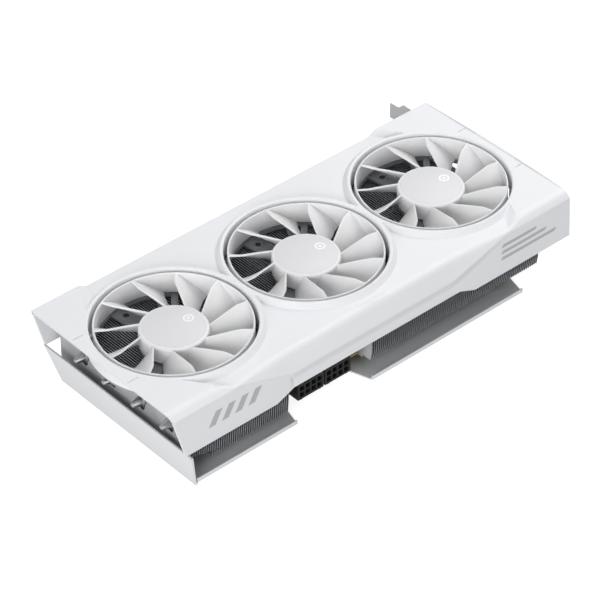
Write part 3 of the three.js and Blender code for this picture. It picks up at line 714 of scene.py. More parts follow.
def thicken(shell):
    """Gives the shroud its wall and keeps the cut ends of the wall in the plane of the cut."""
    skin = shell.modifiers.new("skin", "SOLIDIFY")
    skin.thickness = SHROUD_SKIN * MM
    skin.offset = -1
    bpy.context.view_layer.update()
    solid = shell.evaluated_get(bpy.context.evaluated_depsgraph_get())
    shell.data = bpy.data.meshes.new_from_object(solid)
    shell.modifiers.clear()
    for vertex in shell.data.vertices:
        x, y, _ = (vertex.co - ORIGIN) / MM
        depth = TOP - vertex.co.z / MM
        slope = LEFT_SLOPE_NEAR if y < 0 else LEFT_SLOPE_FAR
        vertex.co.x = ORIGIN.x + max(x, SHROUD_LEFT + slope * max(depth, 0)) * MM


def build_shroud():
    corners = [s[0] for e in (NEAR_TOP_EDGE, FACET_EDGE, UNDERCUT_EDGE, NEAR_BOTTOM_EDGE) for s in e]
    regular = np.linspace(SHROUD_LEFT, SHROUD_RIGHT, int((SHROUD_RIGHT - SHROUD_LEFT) / MESH_STEP))
    regular = regular[np.min([abs(regular - c) for c in corners], axis=0) > 0.3]
    x = np.unique(np.concatenate([regular, corners, [SHROUD_LEFT, SHROUD_RIGHT]]))
    near, far = near_rows(x), far_rows(x)
    right = np.arange(near[0][0][-1] + MESH_STEP, far[0][0][-1], MESH_STEP)
    shape = gather([
        upper_face(x, near[0][0], far[0][0]), strip(x, near, LEFT_SLOPE_NEAR, RIGHT_FLARE),
        strip(x, far, LEFT_SLOPE_FAR, 0), end_wall(x, near, far, right),
        *[duct(centre) for centre in FAN_X],
    ])
    shell = piece("shroud_shell", shape, "white_shroud", stands_for=["fan_shroud"])
    bm = bmesh.new()
    bm.from_mesh(shell.data)
    bmesh.ops.remove_doubles(bm, verts=bm.verts[:], dist=0.004 * MM)
    bmesh.ops.recalc_face_normals(bm, faces=bm.faces[:])
    top_face = max(bm.faces, key=lambda f: f.calc_center_median().z)
    if top_face.normal.z < 0:
        bmesh.ops.reverse_faces(bm, faces=bm.faces[:])
    end_face = max(bm.faces, key=lambda f: len(f.verts))
    if end_face.normal.x < 0:
        bmesh.ops.reverse_faces(bm, faces=[end_face])
    bm.to_mesh(shell.data)
    bm.free()
    thicken(shell)
    shell.data.shade_smooth()
    shell.data.set_sharp_from_angle(angle=math.radians(17))


def panel_bar(x, z, width, height, lean):
    """One slanted bar printed on the near panel."""
    outline = [(x, z), (x + width, z), (x + width + lean, z + height), (x + lean, z + height)]
    return loft([[(u, y, v) for u, v in outline] for y in (PANEL - 0.06, PANEL + 0.2)])


def build_marks():
    """Plain printed bars on the two near panels."""
    left = [panel_bar(-121 + 9 * i, 30.5, 4.6, 9, 5) for i in range(4)]
    right = [panel_bar(91, 30 + 4.4 * i, 42 - 8 * i, 2.1, 1.1) for i in range(3)]
    piece("panel_mark_left", gather(left), "panel_mark")
    piece("panel_mark_right", gather(right), "panel_mark")


# ---------------------------------------------------------------- fans
REST_ANGLES = [17, 14.6, 18.3]
BLADES = 11
HUB_RADIUS, DISC_RADIUS = 19.2, 17.4
HUB_TOP = TOP - 3.8
ROTOR_BOTTOM = span("fan_middle_impeller")[0][2]
RING_OUTER, RING_INNER, RING_TOP = 43.3, 42.2, TOP - 0.9
FRAME_LOW, FRAME_HIGH = 33.4, 35.4
MARK_SPOT = (10.4, 0.4)


def on_circle(radius, degrees):
    angle = math.radians(degrees)
    return Vector((radius * math.cos(angle), radius * math.sin(angle)))


def hub():
    shoulder = [(HUB_RADIUS - 1.5 + dr, HUB_TOP - 1.5 + dz)
                for dr, dz in arc((0, 0), 1.5, 90, 0, 6)]
    return lathe([
        (0, HUB_TOP - 0.9), (DISC_RADIUS + 0.06, HUB_TOP - 0.9), (DISC_RADIUS + 0.06, HUB_TOP - 0.02),
        *shoulder, (HUB_RADIUS, ROTOR_BOTTOM + 0.4), (HUB_RADIUS - 0.4, ROTOR_BOTTOM),
        (17.6, ROTOR_BOTTOM), (17.6, HUB_TOP - 2.4), (0, HUB_TOP - 2.4),
    ], 96)


def ring():
    round_top = [(42.75 + dr, RING_TOP - 0.5 + dz) for dr, dz in arc((0, 0), 0.5, 0, 180, 6)]
    return lathe([
        (RING_INNER, ROTOR_BOTTOM + 0.3), (RING_INNER + 0.3, ROTOR_BOTTOM),
        (RING_OUTER - 0.3, ROTOR_BOTTOM), (RING_OUTER, ROTOR_BOTTOM + 0.3),
        (RING_OUTER, RING_TOP - 1), *round_top, (RING_INNER, RING_TOP - 1),
    ], 160)


def blade_edge():
    """Points in plan along a blade's upper edge: straight from the hub to a kink, then outward."""
    start, kink, end = on_circle(18.3, -19.3), on_circle(35.8, -0.5), on_circle(42.8, 0)
    inner = [start.lerp(kink, t) for t in np.linspace(0, 0.94, 15)]
    outer = [kink.lerp(end, t) for t in np.linspace(0.14, 1, 6)]
    return inner + [kink.lerp(start.lerp(kink, 0.97), 0.4)] + outer


def blade():
    """One blade with its ring end at angle 0, swept back towards its lower edge."""
    bottom = ROTOR_BOTTOM + 0.4
    loops = []
    for point in blade_edge():
        radius, top_angle = point.length, math.degrees(math.atan2(point.y, point.x))
        low_angle = np.interp(radius, [18.3, 27, 36, 42.8], [-34, -27.5, -24.5, -24])
        top_height = np.interp(radius, [18.3, 27, 36, 42.8],
                               [HUB_TOP - 0.7, HUB_TOP + 0.9, RING_TOP - 0.7, RING_TOP - 0.25])
        shares = np.array([0, 0.03, 0.08, 0.2, 0.35, 0.5, 0.65, 0.8, 0.92, 1])
        swing = np.radians(low_angle - top_angle) * radius * shares
        drop = (bottom - top_height) * shares
        slope = np.stack([np.gradient(swing), np.gradient(drop)])
        normal = np.stack([-slope[1], slope[0]]) / np.hypot(*slope)
        half = 0.62 * np.array([0.7, 0.98, 1, 1, 1, 1, 0.95, 0.9, 0.8, 0.4])
        sides = [(swing + s * half * normal[0], drop + s * half * normal[1]) for s in (1, -1)]
        section = list(zip(*sides[0])) + list(zip(*sides[1]))[::-1]
        loops.append([
            (*on_circle(radius, top_angle + math.degrees(arc_length / radius)), top_height + rise)
            for arc_length, rise in section
        ])
    return loft(loops)


def build_rotor(fan, centre, rest_angle):
    """The wheel, the foil disc on its hub and the generic mark on the disc."""
    body = f"fan_{fan}_rotor"
    one = blade()
    blades = [one.turned(rest_angle + 360 * i / BLADES) for i in range(BLADES)]
    wheel = gather([hub(), ring(), *blades]).shifted(x=centre)
    piece(f"fan_{fan}_wheel", wheel, "white_blades", body, [f"fan_{fan}_impeller"], sharp=38)
    disc_top = span(f"fan_{fan}_hub_disc")[1][2]
    disc = lathe([(0, disc_top - 0.6), (DISC_RADIUS - 0.1, disc_top - 0.6),
                  (DISC_RADIUS, disc_top - 0.5), (DISC_RADIUS, disc_top - 0.08),
                  (DISC_RADIUS - 0.1, disc_top - 0.03), (DISC_RADIUS - 0.25, disc_top),
                  (0, disc_top)], 96)
    piece(f"fan_{fan}_hub_foil", disc.shifted(x=centre), "hub_disc", body,
          [f"fan_{fan}_hub_disc"])
    low, high = disc_top - 0.1, disc_top + 0.05
    mark = lathe([(2.1, low), (3.1, low), (3.1, high), (2.1, high)], 48)
    mark.add(drum(0.9, low, high, 32))
    x, y = MARK_SPOT
    piece(f"fan_{fan}_hub_mark", mark.shifted(x=centre + x, y=y), "hub_mark", body)
    restyle(f"fan_{fan}_shaft", "steel_fastener")
    restyle(f"fan_{fan}_motor_stator", "motor_black")


def cross_recess(size):
    """The outline of a cross-shaped driver recess."""
    arm, half = size, size * 0.27
    return [(half, half), (half, arm), (-half, arm), (-half, half), (-arm, half), (-arm, -half),
            (-half, -half), (-half, -arm), (half, -arm), (half, -half), (arm, -half), (arm, half)]


def screw_head(radius, height):
    """A low round head with a cross recess, standing on Z = 0."""
    floor = height * 0.45
    base = drum(radius, 0, floor, 32)
    crown = sheet(circle(0, 0, radius, 32), [cross_recess(radius * 0.55)], floor - 0.02, height,
                  edge=min(0.3, height * 0.3))
    return base.add(crown)


# Struts of a fan's frame: angle, width.
SCREW_STRUT_ANGLE = 97
STRUTS = [(61, 5), (50, 4), (SCREW_STRUT_ANGLE, 10), (-155, 8), (-60, 6)]
LUGS = [20, 125, 255]
FRAME_SCREW_REACH = 35.6


def build_frame(fan, centre):
    seat = lathe([(0, FRAME_LOW), (18.2, FRAME_LOW), (18.5, FRAME_LOW + 0.3),
                  (18.5, FRAME_HIGH - 0.4), (18.1, FRAME_HIGH), (5.4, FRAME_HIGH),
                  (4.2, FRAME_HIGH + 0.8), (4.2, 40.2), (3.9, 40.5), (1.8, 40.5),
                  (1.8, FRAME_LOW + 1), (0, FRAME_LOW + 1)], 72)
    rim = lathe([(42.6, FRAME_LOW), (44.2, FRAME_LOW), (44.4, FRAME_LOW + 0.3),
                 (44.4, FRAME_HIGH - 0.3), (44.1, FRAME_HIGH), (42.9, FRAME_HIGH),
                 (42.6, FRAME_HIGH - 0.3)], 120)
    shapes = [seat, rim]
    for angle, width in STRUTS:
        bar = rounded_box((17, 43.4), around(0, width / 2), (FRAME_LOW, FRAME_HIGH), 0.45)
        shapes.append(bar.turned(angle))
    for angle in LUGS:
        lug = rounded_box((43.4, 46.8), around(0, 3), (FRAME_LOW, FRAME_HIGH), 0.45)
        shapes.append(lug.turned(angle))
    x, y = on_circle(FRAME_SCREW_REACH, SCREW_STRUT_ANGLE)
    collar = lathe([(1.6, FRAME_HIGH - 0.1), (3.4, FRAME_HIGH - 0.1), (3.2, FRAME_HIGH + 0.35),
                    (1.9, FRAME_HIGH + 0.35)], 40)
    shapes.append(collar.shifted(x=x, y=y))
    body = gather(shapes).shifted(x=centre)
    piece(f"fan_{fan}_frame_body", body, "fan_frame_grey", stands_for=[f"fan_{fan}_frame"])
    head = screw_head(1.5, 0.7).shifted(x=centre + x, y=y, z=FRAME_HIGH - 0.4)
    piece(f"fan_{fan}_frame_screw", head, "motor_black")


# ---------------------------------------------------------------- fins and heat pipes
FIN_PITCH = 1.5
FIN_SHEET = 0.3
FIN_TAB, FIN_SIDE_TAB = 0.75, 0.5
FIN_FOLD = 0.25
PIPE_Y = [middle_of(f"heat_pipe_{i}")[1] for i in (1, 2, 3, 4)]
PIPE_RADIUS = 3
PIPE_HIGH, PIPE_LOW = 27.5, 15.3
PIPE_SHOWN_TIP = -137.2
PIPE_BEND = (-14, 14)
CONNECTOR_ROOM_END, BOARD_END = -3, 122.6
RIGHT_NEAR, CONNECTOR_BACK = -56.2, -33.5
RAISED_FOOT, NEAR_CORNER = 14.4, 13.4


def between(x, width, section, paint=0):
    """A section in Y and Z carried from one X over a width."""
    return loft([[(x, y, z) for y, z in section], [(x + width, y, z) for y, z in section]], paint)


def side_fold(x, edge, inward):
    """A narrow fold along one edge of a sheet, from points in Y and Z."""
    inner = [(y + inward, z) for y, z in reversed(edge)]
    # paint=1 gives the fold the lighter painted-highlight look.
    return between(x, FIN_SIDE_TAB, edge + inner, paint=1)


def fin(x, outline):
    """One sheet with its near, far and upper edges folded over towards the next one."""
    near, far = min(y for y, _ in outline), max(y for y, _ in outline)
    low, top = min(z for _, z in outline), max(z for _, z in outline)
    near_edge = sorted([p for p in outline if p[0] < near + 1], key=lambda p: -p[1])
    shape = between(x, FIN_SHEET, outline)
    # The folds and the upper tab take paint 1, the lighter painted-highlight look; the flat sheet
    # takes the darker painted-shade look.
    shape.add(side_fold(x, near_edge, FIN_FOLD))
    shape.add(side_fold(x, [(far, top), (far, low)], -FIN_FOLD))
    return shape.add(block((x, x + FIN_TAB), (near, far), (top - FIN_FOLD, top), paint=1))


def fin_row(start, end, outline_at):
    count = int((end - start - FIN_SHEET) / FIN_PITCH)
    step = (end - start - FIN_SHEET) / count
    return gather([fin(start + i * step, outline_at(start + i * step)) for i in range(count)])


def left_outline(x):
    (_, near, low), (_, far, top) = span("fin_stack_left")
    foot = low + np.interp(x, [-128, -115.1, -115], [6.2, 3, -0.6])
    return [(near + 0.6, foot), (far, foot), (far, top), (near, top), (near, NEAR_CORNER)]


def right_outline(x):
    """The right stack's sheets leave room for the board, the connectors and the bracket's end."""
    near, foot, raised = RIGHT_NEAR, 8, RAISED_FOOT
    _, (_, far, top) = span("fin_stack_right")
    if x > BOARD_END:
        return [(near + 0.8, foot), (far, foot), (far, top), (near, top), (near, NEAR_CORNER)]
    inner = [(48, raised), (48, foot), (far, foot), (far, top)]
    if x < CONNECTOR_ROOM_END:
        return [(CONNECTOR_BACK, raised), *inner, (CONNECTOR_BACK, top)]
    return [(near + 0.8, foot), (-49, foot), (-49, 6), (-44.8, 6), (-44.8, raised), *inner,
            (near, top), (near, NEAR_CORNER)]


def left_end_plate():
    """The outermost sheet of the left stack, with mouths for the pipes and four low slots."""
    (x, near, low), (_, far, top) = span("fin_stack_left")
    holes = []
    for y in PIPE_Y:
        mouth = arc((y, PIPE_HIGH), PIPE_RADIUS + 0.35, -80, 230, 26)
        mouth += [(y - 1.9, 22.4), (y + 0.2, 19.9), (y + 3.9, 21.2), (y + 2.0, 22.8)]
        holes.append(mouth)
    holes += [rectangle((-42.4 + 1.9 * i, -41.4 + 1.9 * i), (14.6, 16.6)) for i in range(4)]
    outline = rectangle((near, far), (low + 6, top))
    return sheet(outline, holes, x - 0.2, x + 0.4, edge=0.08, axes="YZ")


def pipe_path(y):
    end = span("heat_pipe_1")[1][0]
    path, radii = [], []
    for x, radius in ((PIPE_SHOWN_TIP, 0.95), (PIPE_SHOWN_TIP + 0.15, 1.2), (-136.8, 1.32),
                      (-133.6, 2.4), (-132.6, 2.75), (-131.6, 2.95), (-130.4, 3)):
        path.append((x, y, PIPE_HIGH))
        radii.append(radius)
    for share in np.linspace(0, 1, 15):
        drop = (1 - math.cos(math.pi * share)) / 2
        x = PIPE_BEND[0] + (PIPE_BEND[1] - PIPE_BEND[0]) * share
        path.append((x, y, PIPE_HIGH + (PIPE_LOW - PIPE_HIGH) * drop))
    path += [(end - 1.2, y, PIPE_LOW), (end - 0.4, y, PIPE_LOW), (end, y, PIPE_LOW)]
    radii += [PIPE_RADIUS] * 16 + [2.7, 1.8]
    return path, radii


def build_cooler():
    (x0, _, _), (x1, _, _) = span("fin_stack_left")
    row = fin_row(x0 + 1.5, x1, left_outline)
    # The sheets get the painted-shade look and their folds the painted-highlight look.
    piece("fin_stack_left_sheets", row, "fin_aluminium", stands_for=["fin_stack_left"],
          other_looks=["fin_tab_painted_highlight"])
    piece("fin_stack_left_end_plate", left_end_plate(), "fin_end")
    (x0, _, _), (x1, _, top) = span("fin_stack_right")
    row = gather([fin_row(x0, -3.2, right_outline), fin_row(-2.4, x1, right_outline)])
    piece("fin_stack_right_sheets", row, "fin_aluminium", stands_for=["fin_stack_right"],
          other_looks=["fin_tab_painted_highlight"])
    steps = [*right_outline(0)[:5], (CONNECTOR_BACK, RAISED_FOOT), (CONNECTOR_BACK, top),
             (RIGHT_NEAR, top), (RIGHT_NEAR, NEAR_CORNER)]
    end = sheet(steps, [], -3, -2.5, edge=0.08, axes="YZ")
    piece("fin_stack_right_end_plate", end, "fin_end")
    for i, y in enumerate(PIPE_Y):
        pipe = tube(*pipe_path(y))
        piece(f"heat_pipe_{i + 1}_tube", pipe, "nickel_plate", stands_for=[f"heat_pipe_{i + 1}"])
    restyle("cooler_base_plate", "nickel_plate")
    restyle("cold_plate", "copper")


# ---------------------------------------------------------------- circuit board
CONTACT_COUNT, CONTACT_PITCH = 82, 1.02
KEY_NOTCH = (80.6, 83.9)
PAD_TOP = 8.45


def build_contacts():
    """Gold contacts on both faces of the edge connector, with the key notch left free."""
    (_, _, low), (_, far, high) = span("pcb")
    pads = []
    for i in range(CONTACT_COUNT):
        x = 10 + i * CONTACT_PITCH
        if KEY_NOTCH[0] < x < KEY_NOTCH[1]:
            continue
        for level in ((high, high + 0.05), (low - 0.05, low)):
            pads.append(block(around(x, 0.35), (far - 5.4, far - 0.7), level))
    piece("edge_contacts", gather(pads), "gold")


def build_small_parts():
    """Coupling capacitors with their ends, and controller chips, on the edge of the board."""
    surface = span("pcb")[1][2]
    bodies, ends, chips = [], [], []
    for i in range(32):
        x, y = 13 + i * 2.05, 66.4
        bodies.append(rounded_box(around(x, 0.3), around(y, 0.45), (surface, surface + 0.5), 0.06))
        for side in (-1, 1):
            limits = sorted((y + side * 0.42, y + side * 0.72))
            ends.append(rounded_box(around(x, 0.32), limits, (surface, surface + 0.52), 0.06))
    for x, y, wide, deep in ((-20, 62, 6, 6), (-34, 63, 4, 3), (104, 63, 5, 4), (118, 62, 7, 5)):
        chips.append(rounded_box(around(x, wide / 2), around(y, deep / 2), (surface, surface + 0.9),
                                 0.12))
    piece("coupling_capacitors", gather(bodies), "smd_tan")
    piece("capacitor_ends", gather(ends), "solder")
    piece("controller_chips", gather(chips), "chip_black")


def build_board_edge():
    """The bare fibre along the board's near and left edges."""
    (left, near, low), (right, _, high) = span("pcb")
    strips = block((left - 0.03, right), (near - 0.03, near + 0.2), (low + 0.05, high - 0.05))
    strips.add(block((left - 0.03, left + 0.2), (near, 68), (low + 0.05, high - 0.05)))
    piece("board_fibre_edge", strips, "board_edge")


def build_board():
    restyle("pcb", "board")
    restyle("gpu_die", "silicon")
    package = rounded_box(*box_limits("gpu_package"), 0.25)
    piece("gpu_carrier", package, "chip_black", stands_for=["gpu_package"])
    pads = []
    for i in range(1, 9):
        x, y, z = box_limits(f"memory_chip_{i}")
        chip = rounded_box(x, y, z, 0.15)
        chip.add(drum(0.5, z[1] - 0.05, z[1] + 0.02, 16).shifted(x=x[0] + 1.5, y=y[0] + 1.5))
        piece(f"memory_package_{i}", chip, "chip_black", stands_for=[f"memory_chip_{i}"])
        pads.append(rounded_box((x[0] + 0.5, x[1] - 0.5), (y[0] + 0.5, y[1] - 0.5),
                                (z[1] + 0.03, PAD_TOP), 0.3))
    piece("memory_thermal_pads", gather(pads), "thermal_pad")
    for i in range(1, 7):
        x, y, z = box_limits(f"choke_{i}")
        piece(f"choke_{i}_core", rounded_box(x, y, z, 0.7, 3), "ferrite",
              stands_for=[f"choke_{i}"])
    for i in range(1, 5):
        x, y, z = box_limits(f"capacitor_{i}")
        radius = (x[1] - x[0]) / 2
        can = lathe([(0, z[0]), (radius, z[0]), (radius, z[0] + 0.8), (radius - 0.3, z[0] + 1.1),
                     (radius - 0.3, z[0] + 1.5), (radius, z[0] + 1.8), (radius, z[1] - 0.5),
                     (radius - 0.15, z[1] - 0.15), (radius - 0.5, z[1]), (radius - 0.8, z[1] - 0.15),
                     (0, z[1] - 0.15)], 40)
        x, y, _ = middle_of(f"capacitor_{i}")
        piece(f"capacitor_{i}_can", can.shifted(x=x, y=y), "can_aluminium",
              stands_for=[f"capacitor_{i}"])
    build_board_edge()
    build_contacts()
    build_small_parts()


# ---------------------------------------------------------------- power connectors
SOCKET_PITCH = 4.2
SOCKET_HALF = 1.62
SOCKET_ROWS = (9.4, 13.6)


def socket_outline(z, x):
    return rectangle(around(z, SOCKET_HALF), around(x, SOCKET_HALF))


def build_power_connector(index):
    (x0, face, low), (x1, back, high) = span(f"power_connector_{index}")
    centre = middle_of(f"power_connector_{index}")[0]
    columns = [centre + (i - 1.5) * SOCKET_PITCH for i in range(4)]
    mouths = [socket_outline(z, x) for z in SOCKET_ROWS for x in columns]
    foot = low + 0.35
    outline = round_corners(rectangle((foot, high - 0.3), (x0, x1)), 0.3, 3)
    shapes = [
        sheet(outline, mouths, face, face + 11, edge=0.12, axes="ZX"),
        rounded_box((x0, x1), (face + 10.9, back), (foot, high - 0.3), 0.3),
        rounded_box(around(centre, 3.5), (face, face + 1.6), (high - 0.5, high), 0.2),
    ]
    shapes += [
        rounded_box(around(x, 0.9), (face + 0.1, face + 3.2), (low, foot + 0.2), 0.15)
        for x in (columns[0] - 0.4, columns[3] + 0.4)
    ]
    piece(f"power_connector_{index}_housing", gather(shapes), "connector_black",
          stands_for=[f"power_connector_{index}"])
    pins = [
        rounded_box(around(x, 0.45), (face + 4.5, face + 10.9), around(z, 0.45), 0.15)
        for z in SOCKET_ROWS for x in columns
    ]
    piece(f"power_connector_{index}_pins", gather(pins), "gold")


# ---------------------------------------------------------------- bracket and sockets
PORTS = ["displayport_1", "displayport_2", "displayport_3", "hdmi_port"]
BRACKET_INNER = span("io_bracket")[0][0]
BRACKET_SHEET = 0.86
BRACKET_OUTER = BRACKET_INNER + BRACKET_SHEET
BRACKET_NEAR = -32
BRACKET_WIDTH = 38.4
SLOT_PITCH = 20.32
TONGUE_WIDTH = 10.19
BRACKET_SCREWS = [(-20, 34), (52, 34)]


def port_outline(y, z, cut):
    """A socket's rim: a rectangle with one or two cut lower corners."""
    (y0, y1), (z0, z1) = y, z
    if cut == 1:
        return [(y0 + 1.8, z0), (y1, z0), (y1, z1), (y0, z1), (y0, z0 + 1.8)]
    return [(y0 + 2.4, z0), (y1 - 2.4, z0), (y1, z0 + 2.1), (y1, z1), (y0, z1), (y0, z0 + 2.1)]


def build_port(name):
    (x0, y0, z0), (x1, y1, z1) = span(name)
    wall = 0.6
    cut = 2 if name == "hdmi_port" else 1
    outer = round_corners(rectangle((y0, y1), (z0, z1)), 0.6, 3)
    mouth = port_outline((y0 + wall, y1 - wall), (z0 + wall, z1 - wall), cut)
    shell = sheet(outer, [mouth], x1 - 10, x1, edge=0.12, axes="YZ")
    shell.add(rounded_box((x0, x1 - 9.9), (y0, y1), (z0, z1), 0.3))
    piece(f"{name}_shell", shell, "port_shell", stands_for=[name])
    tongue_height = middle_of(name)[2]
    tongue = rounded_box((x1 - 10, x1 - 2.5), (y0 + 3.4, y1 - 3.4), around(tongue_height, 0.5), 0.2)
    piece(f"{name}_tongue", tongue, "connector_black")
    leads = [
        block((x1 - 9.5, x1 - 2.9), around(y0 + 4 + i, 0.22),
              (tongue_height + 0.48, tongue_height + 0.56))
        for i in range(int(y1 - y0 - 8) + 1)
    ]
    piece(f"{name}_contacts", gather(leads), "gold")


def bracket_outline():
    """The bracket's plate in Y and Z, with its two tongues."""
    high = BRACKET_WIDTH - 4.1
    foot, neck, tip = 76.6, 80.7, span("io_bracket")[1][1]
    corners = [
        (BRACKET_NEAR, 0), (foot - 0.5, 0), (neck, 3.8), (tip, high - SLOT_PITCH - TONGUE_WIDTH),
        (tip, high - SLOT_PITCH), (neck, high - SLOT_PITCH), (foot, 17.5), (foot, 20.5),
        (neck, high - TONGUE_WIDTH), (tip, high - TONGUE_WIDTH), (tip, high), (neck, high),
        (foot, BRACKET_WIDTH), (BRACKET_NEAR + 4, BRACKET_WIDTH), (BRACKET_NEAR, 35.3),
    ]
    return round_corners(corners, 1.0, 3)


def build_bracket():
    holes = []
    for name in PORTS:
        (_, y0, z0), (_, y1, z1) = span(name)
        holes.append(round_corners(rectangle((y0 - 0.3, y1 + 0.3), (z0 - 0.3, z1 + 0.3)), 0.8, 3))
    for i in range(7):
        start = -26 + i * 13.2
        holes.append(round_corners(rectangle((start, start + 10.4), (17.5, 30.5)), 1.6, 4))
    holes += [circle(y, z, 1.8, 20) for y, z in BRACKET_SCREWS]
    plate = sheet(bracket_outline(), holes, BRACKET_INNER, BRACKET_OUTER, edge=0.15, axes="YZ")
    fold_end = span("io_bracket")[1][0]
    slots = []
    for z in (7.9, 28.2):
        mouth = [(z - 2.2, fold_end), (z - 2.2, fold_end - 4)]
        mouth += arc((z, fold_end - 4), 2.2, 180, 360, 8)[1:-1]
        slots += mouth + [(z + 2.2, fold_end - 4), (z + 2.2, fold_end)]
    outline = [(0, BRACKET_INNER), (0, fold_end), *slots, (35.3, fold_end), (35.3, BRACKET_INNER)]
    fold = sheet(outline, [], BRACKET_NEAR - BRACKET_SHEET, BRACKET_NEAR, edge=0.15, axes="ZX")
    piece("io_bracket_plate", plate.add(fold), "bracket_steel", stands_for=["io_bracket"])
    for i, (y, z) in enumerate(BRACKET_SCREWS):
        head = screw_head(2.6, 1.4).turned(90, "Y").shifted(x=BRACKET_OUTER + 0.05, y=y, z=z)
        head.add(drum(1.4, -7, 0.1, 20).turned(90, "Y").shifted(x=BRACKET_OUTER, y=y, z=z))
        piece(f"bracket_screw_{i + 1}_head", head, "steel_fastener",
              stands_for=[f"bracket_screw_{i + 1}"])


# ---------------------------------------------------------------- backplate
PLATE = 1.2
PLATE_NEAR = span("backplate")[0][1]
PLATE_LEFT = -133.4
LIP_HEIGHT = 3.5
BEND = 1.9
STEP_BACK = -41.5
GPU_X, GPU_Y = 36, -4.5
RETENTION_REACH = 32
PLATE_SCREWS = [(-127, -44.5), (-127, 46), (-50, 50), (70, 50), (134, 50), (100, -44.5)]
INNER = 1


def air_slots():
    slots = []
    for i in range(6):
        start = -122 + i * 9.5
        slots.append(round_corners(
            [(start, -34), (start + 5.5, -34), (start + 13.5, 38), (start + 8, 38)], 2.6, 4))
    return slots


def paint_inside(shape, is_inside):
    """Gives the inner finish to the faces whose normal says so."""
    for index, face in enumerate(shape.faces):
        corners = [Vector(shape.points[i]) for i in face]
        normal = Vector()
        for here, after in zip(corners, corners[1:] + corners[:1]):
            normal += here.cross(after)
        if normal.length and is_inside(normal.normalized()):
            shape.paint[index] = INNER
    return shape


def lip(x0, x1):
    """The near edge, bent up through a quarter circle."""
    outer = arc((PLATE_NEAR + BEND, BEND), BEND, 270, 180, 8)
    inner = arc((PLATE_NEAR + BEND, BEND), BEND - PLATE, 180, 270, 8)
    section = outer + [(PLATE_NEAR, LIP_HEIGHT - 0.3), (PLATE_NEAR + 0.3, LIP_HEIGHT),
                       (PLATE_NEAR + PLATE - 0.3, LIP_HEIGHT),
                       (PLATE_NEAR + PLATE, LIP_HEIGHT - 0.3)] + inner
    section += [(PLATE_NEAR + BEND + 0.6, PLATE), (PLATE_NEAR + BEND + 0.6, 0)]
    stations = [(x0, 0.25), (x0 + 0.25, 0), (x1 - 0.25, 0), (x1, 0.25)]
    return loft([[(x, y + inset * 0.2, z) for y, z in section] for x, inset in stations])


def end_flange():
    """The flange at the open end, leaning out and rising towards the far side."""
    loops = []
    for share in np.linspace(0, 1, 30):
        height = 19.6 + 4.3 * share
        lean = np.interp(share, [0, 1], [1.9, 5.0])
        loop = []
        for z, depth in ((0, 0.5), (0.15, 0.15), (0.5, 0), (height - 0.3, 0), (height, 0.3),
                         (height, PLATE - 0.3), (height - 0.3, PLATE), (2, PLATE), (PLATE, 2.2),
                         (0, 2.2)):
            far = np.interp(z, [0, 24], [49, 57.4])
            y = PLATE_NEAR + share * (far - PLATE_NEAR)
            loop.append((PLATE_LEFT - lean * z / height + depth, y, z))
        loops.append(loop)
    return loft(loops)


def build_backplate():
    y = PLATE_NEAR + BEND
    outline = [
        (PLATE_LEFT + 1, y), (-61.5, y), (-56.2, STEP_BACK), (-14.2, STEP_BACK), (-8, y),
        (107.5, y), (112.7, STEP_BACK), (142.8, STEP_BACK), (142.8, SHROUD_FAR),
        (PLATE_LEFT + 3, SHROUD_FAR), (PLATE_LEFT + 1, 49),
    ]
    half = RETENTION_REACH - 6
    window = round_corners(rectangle(around(GPU_X, half), around(GPU_Y, half)), 3)
    spots = [(GPU_X + i * RETENTION_REACH, GPU_Y + j * RETENTION_REACH)
             for i in (-1, 1) for j in (-1, 1)]
    holes = [window, *air_slots(), *[circle(px, py, 3.4, 28) for px, py in spots]]
    holes += [circle(px, py, 2.25, 28) for px, py in PLATE_SCREWS]
    plate = sheet(outline, holes, 0, PLATE, edge=0.15)
    shape = gather([
        paint_inside(plate, lambda n: n.z > 0.7),
        paint_inside(lip(-131.5, -62), lambda n: n.y > 0.3 or n.z > 0.95),
        paint_inside(lip(-7.4, 107), lambda n: n.y > 0.3 or n.z > 0.95),
        paint_inside(end_flange(), lambda n: n.x > 0.3 or n.z > 0.6),
    ])
    piece("backplate_sheet", shape, "backplate_paint", stands_for=["backplate"],
          other_looks=["backplate_inner"])
    build_retention()
    heads = [
        screw_head(2.3, 0.5).turned(180, "X").shifted(x=px, y=py, z=0.62)
        for px, py in PLATE_SCREWS
    ]
    piece("backplate_screws", gather(heads), "steel_fastener")


def build_retention():
    """The sprung cross behind the chip and its four screws."""
    arm = RETENTION_REACH * math.sqrt(2)
    low, high = box_limits("retention_cross")[2]
    arms = [
        sheet(round_corners(rectangle(around(0, arm + 3.5), around(0, 4)), 3.5, 5), [], low, high,
              edge=0.2).turned(angle)
        for angle in (45, 135)
    ]
    hub_plate = sheet(circle(0, 0, 9, 40), [circle(0, 0, 4, 28)], low - 0.02, high + 0.02, edge=0.2)
    cross = gather([*arms, hub_plate]).shifted(x=GPU_X, y=GPU_Y)
    piece("retention_cross_spring", cross, "bracket_steel", stands_for=["retention_cross"])
    for index in range(1, 5):
        low, high = box_limits(f"retention_screw_{index}")[2]
        x, y, _ = middle_of(f"retention_screw_{index}")
        head = screw_head(2.9, 1.2).turned(180, "X").shifted(z=low + 1.2)
        head.add(drum(1.45, low + 1.1, high, 24))
        piece(f"retention_screw_{index}_body", head.shifted(x=x, y=y), "steel_fastener",
              stands_for=[f"retention_screw_{index}"])


# ---------------------------------------------------------------- studio
CAMERA_AZIMUTH, CAMERA_ELEVATION = -41.622, 38.882
CAMERA_DISTANCE = 1.632975
CAMERA_TARGET = (-14.247, -10.852, 29.004)
CAMERA_LENS, CAMERA_SENSOR = 179.74, 36
SKY, GROUND = 0.44, 0.62
KEY, LEFT_FILL, FRONT_FILL = 24, 25, 6
FLOOR_GLOW = 0.85
FLOOR_HALF, FLOOR_LEVEL = 8, -0.0004


